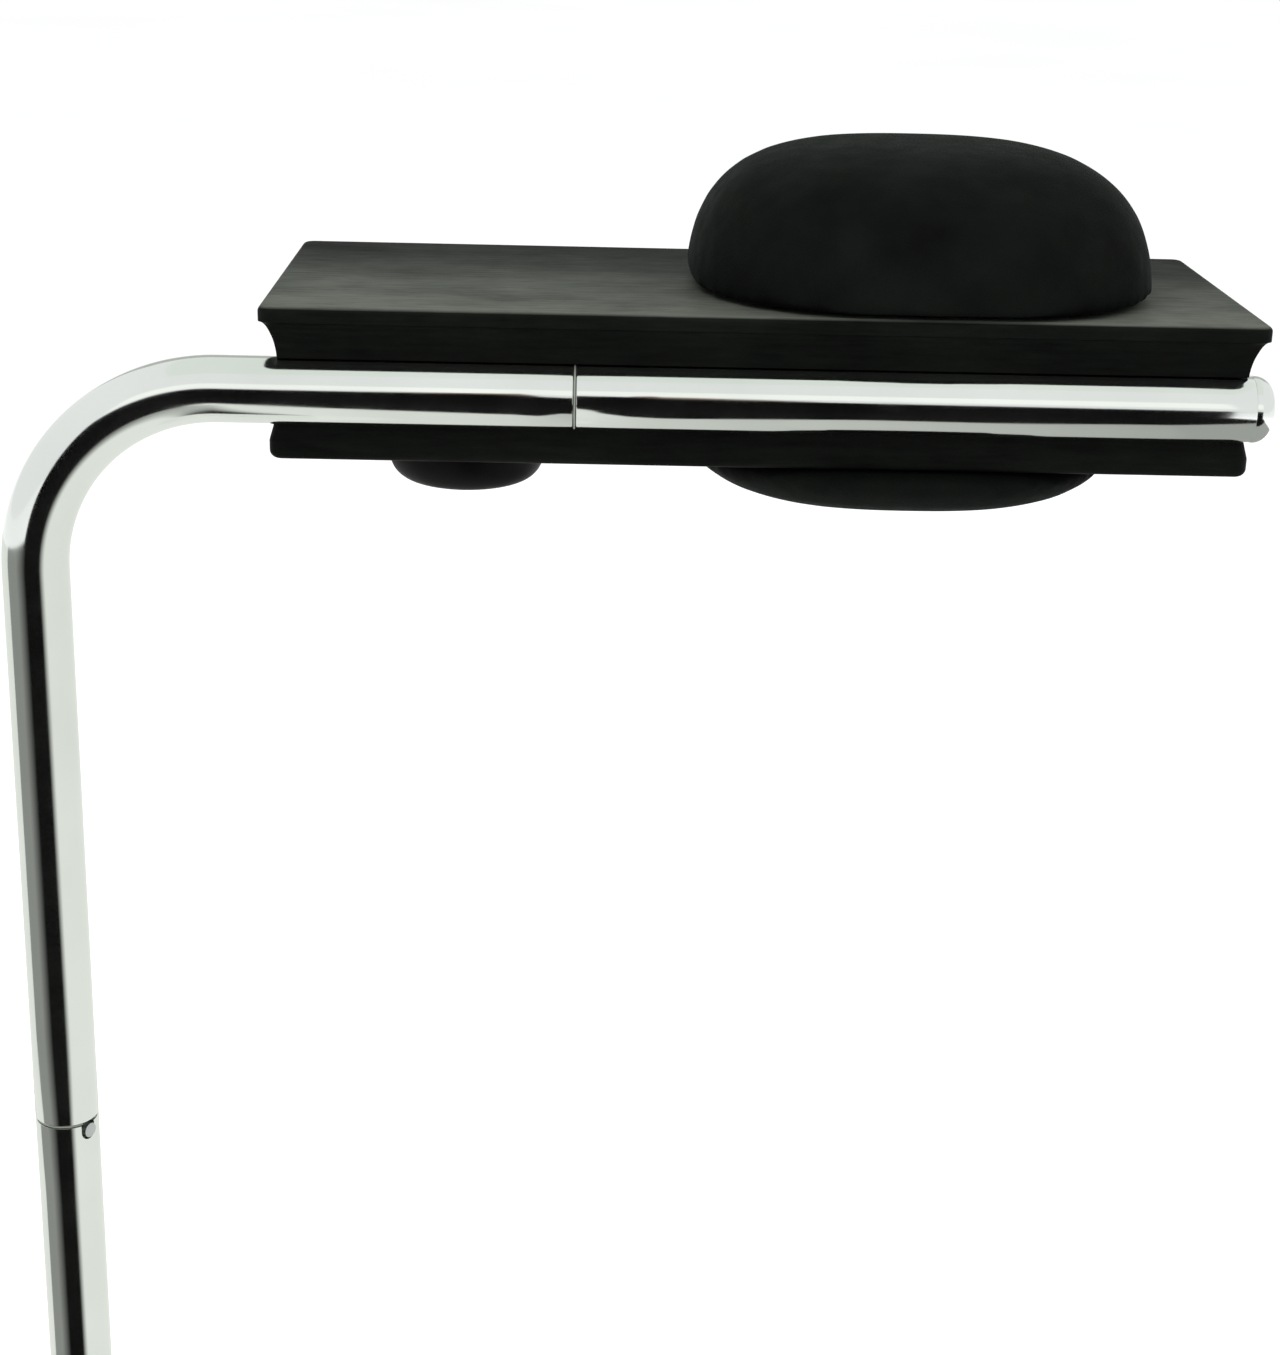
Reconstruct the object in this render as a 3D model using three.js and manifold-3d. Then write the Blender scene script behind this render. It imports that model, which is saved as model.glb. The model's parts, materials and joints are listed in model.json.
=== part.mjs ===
// Swivelling head pad on a tilting board, carried by a cranked tube that plugs into a post.
// Millimetres, +Z up. Origin: centre of the post's foot face. +X runs along the arm, +Y to the rear.
import * as THREE from 'three';
import { mergeVertices } from 'three/addons/utils/BufferGeometryUtils.js';
import Module from 'manifold-3d';

const wasm = await Module();
wasm.setup();

// Driving dimensions -------------------------------------------------------------------------
const GAP = 0.3; // air left between pieces that touch
const TUBE_R = 12.5; // outer radius of all the chromed tubes
const TUBE_WALL = 1.5;
const BORE_R = TUBE_R - TUBE_WALL;
const PLUG_R = BORE_R - GAP; // what is fixed inside a tube
const LINER_R = 9.6; // bore of the plastic bushes
const SPIGOT_R = LINER_R - GAP; // what slides or turns in a bush
const AXIS_Z = 540; // height of the horizontal leg, which is the tilt axis
const POST_TOP_Z = 239.6; // rim of the post
const ELBOW_FOOT_Z = POST_TOP_Z + 1.2; // lower rim of the elbow, one thin bush flange above the post
const FLANGE_T = 0.6; // thickness of the bush flanges that show as a ring in each seam
const FLANGE_R = 12.1;
const BEND_R = 70; // centreline radius of the elbow
const RAIL_X0 = 201.6; // start of the turning rail tube
const ELBOW_END_X = RAIL_X0 - 1.2; // rim of the elbow's horizontal leg
const CAP_X0 = 450.5; // seam of the rounded end cap
const CAP_X1 = 459.2; // tip of the end cap

const BOARD_X0 = 88; // board outline, measured at its lower lip
const BOARD_X1 = 452.9;
const BOARD_Y1 = 142.4;
const OVERHANG = 1.9; // how much further the upper lip stands out at the sides and the back
const UPPER_LIP_Y = -9.7; // the upper lip hangs over the tube
const LOWER_LIP_Y = 0;
const BOARD_TOP = 32.3; // heights from here on are measured from the tilt axis
const BOARD_BOTTOM = -26.4;
const LIP_ROUND = 2.2; // radius of the top edge
const LOWER_ROUND = 3; // radius of the bottom edge
const COVE_DEPTH = 4.4; // how far the hollow side runs in behind the lower lip
// The hollow starts at a lip and is upright from its end on. Power 1 is a straight slope, 2 an ellipse.
const UPPER_COVE = { start: 26.6, end: 10, power: 2 };
const LOWER_COVE = { start: -20, end: -1, power: 1.2 };
const CORNER_R = 5; // corners of the board in plan
const SHELL_WALL = 3;
const GROOVE_R = TUBE_R + 0.5; // groove along the front that the tube lies in

const PAD_X = 329.6; // the pad's swivel axis
const PAD_Y = 67;
const PAD_Z = 13; // height at which the pebble shape is widest
const PAD_HALF = [89.6, 81]; // half width and half depth of the pebble shape
const PLAN_POWER = 2.6; // superellipse power of its outline from above
const UPPER_PEBBLE = { shift: 2.9, height: 74.6, power: 3.35 }; // the half above PAD_Z, off centre by shift
const LOWER_PEBBLE = { shift: -2.2, height: 61.6, power: 3.6 };
const CUSHION_GAP = 1; // air between a cushion and the board's face
const BASE_GAP = 0.8; // a pad base lies this much further in
const PAD_BASE_T = 4;
const PAD_BASE_SHARE = 0.76; // size of the pad bases against the pebble shape
const SPINDLE_R = 8;
const SPINDLE_FLANGE_R = 24;
const SPINDLE_FLANGE_T = 3;
const SPINDLE_NUT_T = 6;
const SPINDLE_NUT_R = 12.5;
const SWIVEL_WASHER_R = 30;

const KNOB_X = 159.2; // the clamp's screw
const KNOB_Y = 45;
const KNOB_R = 30;
const KNOB_TOP = BOARD_BOTTOM - 2;
const KNOB_BOTTOM = -43.7;
const STUD_R = 4;

// Materials ----------------------------------------------------------------------------------
const material = (color, roughness, metalness) =>
  new THREE.MeshStandardMaterial({ color, roughness, metalness });
const chrome = () => material(0xe6e8e6, 0.08, 1);
const steel = () => material(0x9a9c9e, 0.35, 1);
const blackShell = () => material(0x232725, 0.5, 0);
const blackPlastic = () => material(0x1b1c1c, 0.45, 0);
const darkSteel = () => material(0x3a3c3e, 0.5, 0.8);
const castAlloy = () => material(0xa9acae, 0.5, 1);
const brass = () => material(0xb0904a, 0.3, 1);
const nylon = () => material(0x868a80, 0.5, 0);
const padSkin = () => material(0x151716, 0.75, 0);

// Solid helpers ------------------------------------------------------------------------------
const point = (x, y, z) => new THREE.Vector3(x, y, z);

function signedVolume(positions, triangles) {
  const corner = [point(0, 0, 0), point(0, 0, 0), point(0, 0, 0)];
  let volume = 0;
  for (let i = 0; i < triangles.length; i += 3) {
    corner.forEach((v, k) => v.fromArray(positions, triangles[i + k] * 3));
    volume += corner[0].dot(corner[1].clone().cross(corner[2])) / 6;
  }
  return volume;
}

// A closed three.js geometry becomes a solid with its faces pointing out.
function solid(geometry) {
  const bare = geometry.clone();
  bare.deleteAttribute('normal');
  bare.deleteAttribute('uv');
  const merged = mergeVertices(bare, 1e-4);
  const triangles = [];
  for (let i = 0; i < merged.index.count; i += 3) {
    const [a, b, c] = [0, 1, 2].map((k) => merged.index.getX(i + k));
    if (a !== b && b !== c && c !== a) triangles.push(a, b, c);
  }
  const positions = merged.attributes.position.array;
  if (signedVolume(positions, triangles) < 0) triangles.reverse();
  return new wasm.Manifold(new wasm.Mesh({
    numProp: 3,
    vertProperties: new Float32Array(positions),
    triVerts: new Uint32Array(triangles),
  }));
}

const joined = (first, ...others) => others.reduce((whole, piece) => whole.add(piece), first);
const cut = (body, ...tools) => tools.reduce((rest, tool) => rest.subtract(tool), body);

function box(x0, x1, y0, y1, z0, z1) {
  const geometry = new THREE.BoxGeometry(x1 - x0, y1 - y0, z1 - z0);
  return solid(geometry.translate((x0 + x1) / 2, (y0 + y1) / 2, (z0 + z1) / 2));
}

// A round bar between two points; endRadius makes it a cone.
function rod(radius, from, to, sides = 32, endRadius = radius) {
  const along = to.clone().sub(from);
  const geometry = new THREE.CylinderGeometry(endRadius, radius, along.length(), sides);
  geometry.applyQuaternion(
    new THREE.Quaternion().setFromUnitVectors(point(0, 1, 0), along.clone().normalize()));
  const middle = from.clone().add(to).multiplyScalar(0.5);
  return solid(geometry.translate(middle.x, middle.y, middle.z));
}

const upright = (radius, x, y, z0, z1, sides = 20) =>
  rod(radius, point(x, y, z0), point(x, y, z1), sides);
const level = (radius, x0, x1, sides = 28) => rod(radius, point(x0, 0, 0), point(x1, 0, 0), sides);

// A turned piece from [radius, height] pairs; the profile closes on itself or on the axis.
function turned(profile, sides = 28) {
  const points = profile.map(([r, h]) => new THREE.Vector2(r, h));
  if (profile[0][0] > 0) points.push(points[0].clone());
  return new THREE.LatheGeometry(points, sides);
}
const turnedUpright = (profile, sides) => solid(turned(profile, sides).rotateX(Math.PI / 2));
const turnedLevel = (profile, sides) => solid(turned(profile, sides).rotateZ(-Math.PI / 2));

// A (y, z) outline drawn out along X.
function profileAlongX(shape, x0, x1, curveSegments = 12) {
  const geometry = new THREE.ExtrudeGeometry(shape, {
    depth: x1 - x0, bevelEnabled: false, curveSegments,
  });
  return solid(geometry.rotateY(Math.PI / 2).rotateX(Math.PI / 2).translate(x0, 0, 0));
}
// An (x, z) outline drawn out along Y.
function profileAlongY(shape, y0, y1, curveSegments = 12) {
  const geometry = new THREE.ExtrudeGeometry(shape, {
    depth: y1 - y0, bevelEnabled: false, curveSegments,
  });
  return solid(geometry.rotateX(Math.PI / 2).translate(0, y1, 0));
}
// An (x, y) outline drawn out along Z.
function profileAlongZ(shape, z0, z1, curveSegments = 4) {
  const geometry = new THREE.ExtrudeGeometry(shape, {
    depth: z1 - z0, bevelEnabled: false, curveSegments,
  });
  return solid(geometry.translate(0, 0, z0));
}

function node(group, name, body, look) {
  const { vertProperties, triVerts } = body.getMesh();
  const geometry = new THREE.BufferGeometry();
  geometry.setAttribute('position', new THREE.Float32BufferAttribute(vertProperties, 3));
  geometry.setIndex(new THREE.Uint32BufferAttribute(triVerts, 1));
  geometry.computeVertexNormals();
  const mesh = new THREE.Mesh(geometry, look);
  mesh.name = name;
  group.add(mesh);
}

// A cap screw along Z: head from headZ towards bodyward, then its shank to tipZ.
function screw(x, y, headZ, shankZ, tipZ, headR, shankR) {
  return upright(headR, x, y, Math.min(headZ, shankZ), Math.max(headZ, shankZ), 8)
    .add(upright(shankR, x, y, Math.min(headZ, tipZ), Math.max(headZ, tipZ), 8));
}

// Groups: the post stands on the origin, everything else hangs on the tilt axis -----------------
const headrest = new THREE.Group();
const post = new THREE.Group();
const arm = new THREE.Group();
const board = new THREE.Group();
const clamp = new THREE.Group();
const pad = new THREE.Group();
headrest.add(post, arm);
arm.add(board);
board.add(clamp, pad);
arm.position.z = AXIS_Z;

// Post ---------------------------------------------------------------------------------------
// A pin in the spigot drops into a half-round notch in the post's rim and stops the arm turning.
const KEY_R = 3;
const KEY_DROP = 3.4; // depth of the pin's axis below the rim
const KEY_TURN = THREE.MathUtils.degToRad(58); // from straight ahead round towards +X
const keyDirection = point(Math.sin(KEY_TURN), -Math.cos(KEY_TURN), 0);
const SLEEVE_FOOT_Z = 178; // lower end of the glide bush
const FOOT_T = 3; // the part of the foot plug that shows
const FOOT_PLUG_TOP = 25;
const FOOT_PLUG_BORE = 8;

function keyPoint(radius, z) {
  return keyDirection.clone().multiplyScalar(radius).setZ(z);
}
function keyNotch() {
  const r = KEY_R + GAP;
  const above = 2 * KEY_DROP; // well past the rim
  const shape = new THREE.Shape();
  shape.moveTo(r, above);
  shape.lineTo(-r, above);
  shape.lineTo(-r, 0);
  shape.absarc(0, 0, r, Math.PI, 2 * Math.PI, false);
  shape.lineTo(r, above);
  const geometry = new THREE.ExtrudeGeometry(shape, {
    depth: TUBE_R + 1, bevelEnabled: false, curveSegments: 10,
  });
  geometry.rotateX(Math.PI / 2);
  geometry.rotateZ(KEY_TURN);
  return solid(geometry.translate(0, 0, POST_TOP_Z - KEY_DROP));
}

function buildPost() {
  const tube = cut(
    upright(TUBE_R, 0, 0, FOOT_T + GAP, POST_TOP_Z, 32),
    upright(BORE_R, 0, 0, 0, POST_TOP_Z + 1, 32),
    keyNotch());
  node(post, 'post_tube', tube, chrome());

  const footPlug = turnedUpright([
    [0, 0], [TUBE_R - 0.8, 0], [TUBE_R, 0.8], [TUBE_R, FOOT_T], [PLUG_R, FOOT_T], [PLUG_R, FOOT_PLUG_TOP],
    [FOOT_PLUG_BORE, FOOT_PLUG_TOP], [FOOT_PLUG_BORE, FOOT_T + 2], [0, FOOT_T + 2]], 32);
  node(post, 'post_foot_plug', footPlug, blackPlastic());

  const flangeZ = POST_TOP_Z + GAP;
  const bush = turnedUpright([
    [LINER_R, SLEEVE_FOOT_Z], [PLUG_R, SLEEVE_FOOT_Z], [PLUG_R, flangeZ], [FLANGE_R, flangeZ],
    [FLANGE_R, flangeZ + FLANGE_T], [LINER_R, flangeZ + FLANGE_T]]);
  node(post, 'post_glide_bush', cut(bush, keyNotch()), nylon());
}

// Arm ----------------------------------------------------------------------------------------
// Centreline of the cranked tube: one step for each straight leg and the rest for the bend.
const BEND_STEPS = 11;
const ELBOW_STEPS = BEND_STEPS + 2;
class CrankedLine extends THREE.Curve {
  getPoint(t) {
    const step = t * ELBOW_STEPS;
    if (step <= 1) return point(0, 0, THREE.MathUtils.lerp(ELBOW_FOOT_Z - AXIS_Z, -BEND_R, step));
    if (step >= ELBOW_STEPS - 1) {
      return point(THREE.MathUtils.lerp(BEND_R, ELBOW_END_X, step - ELBOW_STEPS + 1), 0, 0);
    }
    const angle = ((step - 1) / BEND_STEPS) * Math.PI / 2;
    return point(BEND_R * (1 - Math.cos(angle)), 0, -BEND_R * (1 - Math.sin(angle)));
  }
  getPointAt(u) {
    return this.getPoint(u);
  }
  getTangentAt(u) {
    const angle = THREE.MathUtils.clamp((u * ELBOW_STEPS - 1) / BEND_STEPS, 0, 1) * Math.PI / 2;
    return point(Math.sin(angle), 0, Math.cos(angle));
  }
}

const POST_SPIGOT_Z = [130 - AXIS_Z, 300 - AXIS_Z];
const POST_SPIGOT_BORE = 6.5;
const TILT_SPIGOT_X = [131, 320.3];
const TILT_SPIGOT_BORE = 6;
const STOP_PIN_X = 216;
const STOP_PIN_R = 2;
const STOP_PIN_Z = [4.5, 10.5];
const BOLT_R = 4; // the bolt that keeps the tilt spigot in its bushes
const BOLT_LENGTH = 22; // how far it reaches into the spigot
const BOLT_HEAD_R = 6.5;
const BOLT_HEAD_T = 5;
const THREAD_DEPTH = BOLT_LENGTH + 4;
const RETAINER_R = 10.4;
const RETAINER_T = 2;

function buildArm() {
  const section = new THREE.Shape();
  section.absarc(0, 0, TUBE_R, 0, 2 * Math.PI, false);
  const bore = new THREE.Path();
  bore.absarc(0, 0, BORE_R, 0, 2 * Math.PI, true);
  section.holes.push(bore);
  const elbow = solid(new THREE.ExtrudeGeometry(section, {
    extrudePath: new CrankedLine(), steps: ELBOW_STEPS, curveSegments: 16,
  }));
  node(arm, 'elbow_tube', elbow, chrome());

  const elbowFoot = ELBOW_FOOT_Z - AXIS_Z;
  const keyZ = POST_TOP_Z - KEY_DROP - AXIS_Z;
  const [foot, head] = POST_SPIGOT_Z;
  const postSpigot = cut(
    turnedUpright([
      [POST_SPIGOT_BORE, foot], [SPIGOT_R - 1, foot], [SPIGOT_R, foot + 2], [SPIGOT_R, elbowFoot],
      [PLUG_R, elbowFoot], [PLUG_R, head], [POST_SPIGOT_BORE, head]]),
    rod(KEY_R + GAP, keyPoint(POST_SPIGOT_BORE - 2.5, keyZ), keyPoint(TUBE_R, keyZ), 20));
  node(arm, 'post_spigot', postSpigot, steel());
  const keyEnds = [keyPoint(POST_SPIGOT_BORE - 1.7, keyZ), keyPoint(TUBE_R - 0.1, keyZ)];
  node(arm, 'key_pin', rod(KEY_R, ...keyEnds, 20), steel());

  const [x0, x1] = TILT_SPIGOT_X;
  const tiltSpigot = cut(
    turnedLevel([
      [TILT_SPIGOT_BORE, x0], [PLUG_R, x0], [PLUG_R, ELBOW_END_X], [SPIGOT_R, ELBOW_END_X], [SPIGOT_R, x1],
      [BOLT_R + GAP, x1], [BOLT_R + GAP, x1 - THREAD_DEPTH], [TILT_SPIGOT_BORE, x1 - THREAD_DEPTH - 4]]),
    upright(STOP_PIN_R + GAP, STOP_PIN_X, 0, STOP_PIN_Z[0] - 1.5, STOP_PIN_Z[1] + 1.5, 16));
  node(arm, 'tilt_spigot', tiltSpigot, steel());
  node(arm, 'tilt_stop_pin', upright(STOP_PIN_R, STOP_PIN_X, 0, ...STOP_PIN_Z, 16), darkSteel());

  const washerX = x1 + GAP;
  const washer = cut(
    level(RETAINER_R, washerX, washerX + RETAINER_T, 32),
    level(BOLT_R + GAP, washerX - 1, washerX + RETAINER_T + 1, 24));
  node(arm, 'tilt_retaining_washer', washer, steel());
  const headX = washerX + RETAINER_T + GAP;
  const bolt = level(BOLT_R, x1 - BOLT_LENGTH, headX + 1, 24)
    .add(level(BOLT_HEAD_R, headX, headX + BOLT_HEAD_T, 6));
  node(arm, 'tilt_retaining_bolt', bolt, darkSteel());
}

// Board --------------------------------------------------------------------------------------
const TILT_DOWN = 20; // degrees the board's rear edge can drop
const TILT_UP = 90; // and rise from level
const BRACKET_X = [272, 410];
const BRACKET_HALF = 10;
const PLATE_T = 3; // steel core plate, level with the tilt axis
const CAVITY_X = [BOARD_X0 + COVE_DEPTH + SHELL_WALL, BOARD_X1 - COVE_DEPTH - SHELL_WALL];
const CAVITY_Y = [GROOVE_R + SHELL_WALL, BOARD_Y1 - COVE_DEPTH - SHELL_WALL];
const SHELL_SCREWS = [[112, 28], [112, 118], [228, 28], [228, 118], [432, 28], [432, 118]];
const SCREW_R = 2; // shank of the shell, rail and bracket screws
const SCREW_HOLE_R = SCREW_R + GAP;
const SHELL_SCREW_HEAD_R = 3.8;
const SHELL_SCREW_SINK = 4; // depth of the counterbores
const SHELL_SCREW_TIP = 20;
const SCREW_BOSS_R = 5;
const FOOT_SCREW_HEAD_R = 3.4; // heads of the rail, bracket and pad base screws
const BRACKET_SCREW_DX = 5; // either side of a bracket's middle
const BRACKET_SCREW_Y = 34;
const BRACKET_FOOT_Y = 44; // rear end of a bracket's foot
const BRACKET_Z = [-11, 11];
const RAIL_SCREW_Z = -6;
const SADDLE_X = [KNOB_X - 18, KNOB_X + 18];
const JAW_X = [KNOB_X - 16, KNOB_X + 16];
const JAW_FRONT_Y = 0.4;
const GUIDE_Y = [26, 64]; // the two pins that guide the clamp jaw
const GUIDE_R = 2.5;
const SPINDLE_BUSH_R = [SPINDLE_R + GAP, 10.6];
const SPINDLE_BOSS_R = 15;
const SPINDLE_BOSS_Z = [-12, 18]; // inner ends of the bosses that hold the spindle's bushes

const quarterTurn = (steps, place) =>
  Array.from({ length: steps + 1 }, (_, i) => place((i / steps) * (Math.PI / 2)));

// Side profiles of the two shells, as [depth in from the lip, height] from the outer face to the
// parting plane at the height of the tilt axis.
function hollow({ start, end, power }, depth) {
  return quarterTurn(6, (a) => [
    depth * Math.sin(a) ** (2 / power), end + (start - end) * Math.cos(a) ** (2 / power)]);
}
function upperSide() {
  const r = LIP_ROUND;
  const depth = COVE_DEPTH + OVERHANG;
  return [
    ...quarterTurn(3, (a) => [r * (1 - Math.sin(a)), BOARD_TOP - r * (1 - Math.cos(a))]),
    ...hollow(UPPER_COVE, depth),
    [depth, GAP / 2],
  ];
}
function lowerSide() {
  const r = LOWER_ROUND;
  return [
    ...quarterTurn(3, (a) => [r * (1 - Math.sin(a)), BOARD_BOTTOM + r * (1 - Math.cos(a))]),
    ...hollow(LOWER_COVE, COVE_DEPTH),
    [COVE_DEPTH, -GAP / 2],
  ];
}

function sectionBetween(side, low, high) {
  const outline = [
    ...side.map(([depth, z]) => new THREE.Vector2(low + depth, z)),
    ...side.map(([depth, z]) => new THREE.Vector2(high - depth, z)).reverse(),
  ];
  return new THREE.Shape(outline);
}
// The board's outline from above; wider is how far it stands out past the lower lip.
function plan(frontY, wider) {
  const [x0, x1, y0, y1] = [BOARD_X0 - wider, BOARD_X1 + wider, frontY, BOARD_Y1 + wider];
  const r = CORNER_R;
  const shape = new THREE.Shape();
  shape.absarc(x1 - r, y0 + r, r, -Math.PI / 2, 0, false);
  shape.absarc(x1 - r, y1 - r, r, 0, Math.PI / 2, false);
  shape.absarc(x0 + r, y1 - r, r, Math.PI / 2, Math.PI, false);
  shape.absarc(x0 + r, y0 + r, r, Math.PI, 1.5 * Math.PI, false);
  return shape;
}
function shellBlock(side, frontY, wider) {
  const [x0, x1, y1] = [BOARD_X0 - wider, BOARD_X1 + wider, BOARD_Y1 + wider];
  const alongX = profileAlongX(sectionBetween(side, frontY, y1), x0 - 1, x1 + 1);
  const alongY = profileAlongY(sectionBetween(side, x0, x1), frontY - 1, y1 + 1);
  const outline = profileAlongZ(plan(frontY, wider), BOARD_BOTTOM - 1, BOARD_TOP + 1);
  return cut(alongX.intersect(alongY).intersect(outline), level(GROOVE_R, x0 - 1, x1 + 1, 32));
}
const bracketPocket = (centre, z0, z1) =>
  box(centre - BRACKET_HALF - 0.6, centre + BRACKET_HALF + 0.6, 3, CAVITY_Y[0] + 1, z0, z1);

function buildUpperShell() {
  const ceiling = BOARD_TOP - SHELL_WALL;
  const bossFoot = PLATE_T / 2 + GAP;
  let shell = cut(
    shellBlock(upperSide(), UPPER_LIP_Y, OVERHANG),
    box(...CAVITY_X, ...CAVITY_Y, -1, ceiling),
    box(JAW_X[0] - 1, JAW_X[1] + 1, JAW_FRONT_Y - 0.8, CAVITY_Y[0] + 1, -1, JAW_ROOM_Z),
    ...BRACKET_X.map((x) => bracketPocket(x, -1, BRACKET_Z[1] + 2)));
  shell = joined(
    shell,
    ...SHELL_SCREWS.map(([x, y]) => upright(SCREW_BOSS_R, x, y, bossFoot, ceiling + 1, 10)),
    upright(SPINDLE_BOSS_R, PAD_X, PAD_Y, SPINDLE_BOSS_Z[1], ceiling + 1, 32));
  shell = cut(
    shell,
    ...SHELL_SCREWS.map(([x, y]) => upright(SCREW_HOLE_R, x, y, 0, SHELL_SCREW_TIP + 2, 8)),
    upright(SPINDLE_BUSH_R[1] + GAP, PAD_X, PAD_Y, SPINDLE_BOSS_Z[1] - 1, BOARD_TOP + 1));
  node(board, 'board_upper_shell', shell, blackShell());
}

function buildLowerShell() {
  const floor = BOARD_BOTTOM + SHELL_WALL;
  const bossTop = -PLATE_T / 2 - GAP;
  let shell = cut(
    shellBlock(lowerSide(), LOWER_LIP_Y, 0),
    box(...CAVITY_X, ...CAVITY_Y, floor, 1),
    box(
      SADDLE_X[0] - 2 * GAP, SADDLE_X[1] + 2 * GAP, SADDLE_Y[0] - 2 * GAP, CAVITY_Y[0] + 1,
      SADDLE_Z[0] - 2 * GAP, 1),
    ...BRACKET_X.map((x) => bracketPocket(x, BRACKET_Z[0] - 1, 1)));
  shell = joined(
    shell,
    ...SHELL_SCREWS.map(([x, y]) => upright(SCREW_BOSS_R + 0.8, x, y, floor - 1, bossTop, 10)),
    upright(SPINDLE_BOSS_R, PAD_X, PAD_Y, floor - 1, SPINDLE_BOSS_Z[0], 32));
  const sunkTo = BOARD_BOTTOM + SHELL_SCREW_SINK;
  shell = cut(
    shell,
    ...SHELL_SCREWS.map(([x, y]) => upright(SCREW_HOLE_R + 0.2, x, y, BOARD_BOTTOM - 1, 0, 8)),
    ...SHELL_SCREWS.map(([x, y]) => upright(SHELL_SCREW_HEAD_R + 0.4, x, y, BOARD_BOTTOM - 1, sunkTo, 10)),
    upright(STUD_R + 0.8, KNOB_X, KNOB_Y, BOARD_BOTTOM - 1, 0),
    upright(SPINDLE_BUSH_R[1] + GAP, PAD_X, PAD_Y, BOARD_BOTTOM - 1, SPINDLE_BOSS_Z[0] + 1));
  node(board, 'board_lower_shell', shell, blackShell());
  SHELL_SCREWS.forEach(([x, y], i) => {
    const head = sunkTo - GAP;
    const body = screw(x, y, head - 2.4, head, SHELL_SCREW_TIP, SHELL_SCREW_HEAD_R, SCREW_R);
    node(board, `shell_screw_${i + 1}`, body, darkSteel());
  });
}

function buildCore() {
  const [z0, z1] = [-PLATE_T / 2, PLATE_T / 2];
  const [x0, x1] = CAVITY_X;
  const [y0, y1] = CAVITY_Y;
  const through = (r, x, y, sides) => upright(r, x, y, z0 - 1, z1 + 1, sides);
  const footScrewX = (x) => [x - BRACKET_SCREW_DX, x + BRACKET_SCREW_DX];
  const plate = cut(
    box(x0 + 1, x1 - 1, y0 + 1, y1 - 1, z0, z1),
    through(SPINDLE_BOSS_R + 3, PAD_X, PAD_Y, 32),
    through(STUD_R + 5.6, KNOB_X, KNOB_Y),
    ...GUIDE_Y.map((y) => through(GUIDE_R + 0.8, KNOB_X, y, 16)),
    ...SHELL_SCREWS.map(([x, y]) => through(SCREW_R + 0.6, x, y, 8)),
    ...BRACKET_X.flatMap(footScrewX).map((x) => through(SCREW_R + 0.4, x, BRACKET_SCREW_Y, 8)));
  node(board, 'core_plate', plate, steel());

  BRACKET_X.forEach((x, i) => {
    const side = ['left', 'right'][i];
    const foot = z1 + GAP;
    const footTop = foot + 8;
    const front = 5;
    const back = CAVITY_Y[0] - 0.4; // of the bracket's upright part
    const shape = new THREE.Shape([
      [front, BRACKET_Z[0]], [back, BRACKET_Z[0]], [back, foot], [BRACKET_FOOT_Y, foot],
      [BRACKET_FOOT_Y, footTop], [back, BRACKET_Z[1]], [front, BRACKET_Z[1]],
    ].map(([y, z]) => new THREE.Vector2(y, z)));
    const bracket = cut(
      profileAlongX(shape, x - BRACKET_HALF, x + BRACKET_HALF),
      level(TUBE_R + GAP, x - 2 * BRACKET_HALF, x + 2 * BRACKET_HALF),
      rod(SCREW_HOLE_R, point(x, 0, RAIL_SCREW_Z), point(x, back + 1, RAIL_SCREW_Z), 10),
      ...footScrewX(x).map((screwX) => upright(SCREW_HOLE_R, screwX, BRACKET_SCREW_Y, 0, footTop - 2.5, 8)));
    node(board, `rail_bracket_${side}`, bracket, darkSteel());
    const head = back + GAP;
    const railScrew = rod(SCREW_R, point(x, 9, RAIL_SCREW_Z), point(x, head + 1, RAIL_SCREW_Z), 10)
      .add(rod(FOOT_SCREW_HEAD_R, point(x, head, RAIL_SCREW_Z), point(x, head + 2.2, RAIL_SCREW_Z), 10));
    node(board, `rail_screw_${side}`, railScrew, darkSteel());
    footScrewX(x).forEach((screwX, k) => {
      const body = screw(
        screwX, BRACKET_SCREW_Y, z0 - GAP - 2, z0 - GAP, footTop - 3, FOOT_SCREW_HEAD_R, SCREW_R);
      node(board, `bracket_screw_${side}_${k + 1}`, body, darkSteel());
    });
  });
}

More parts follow.
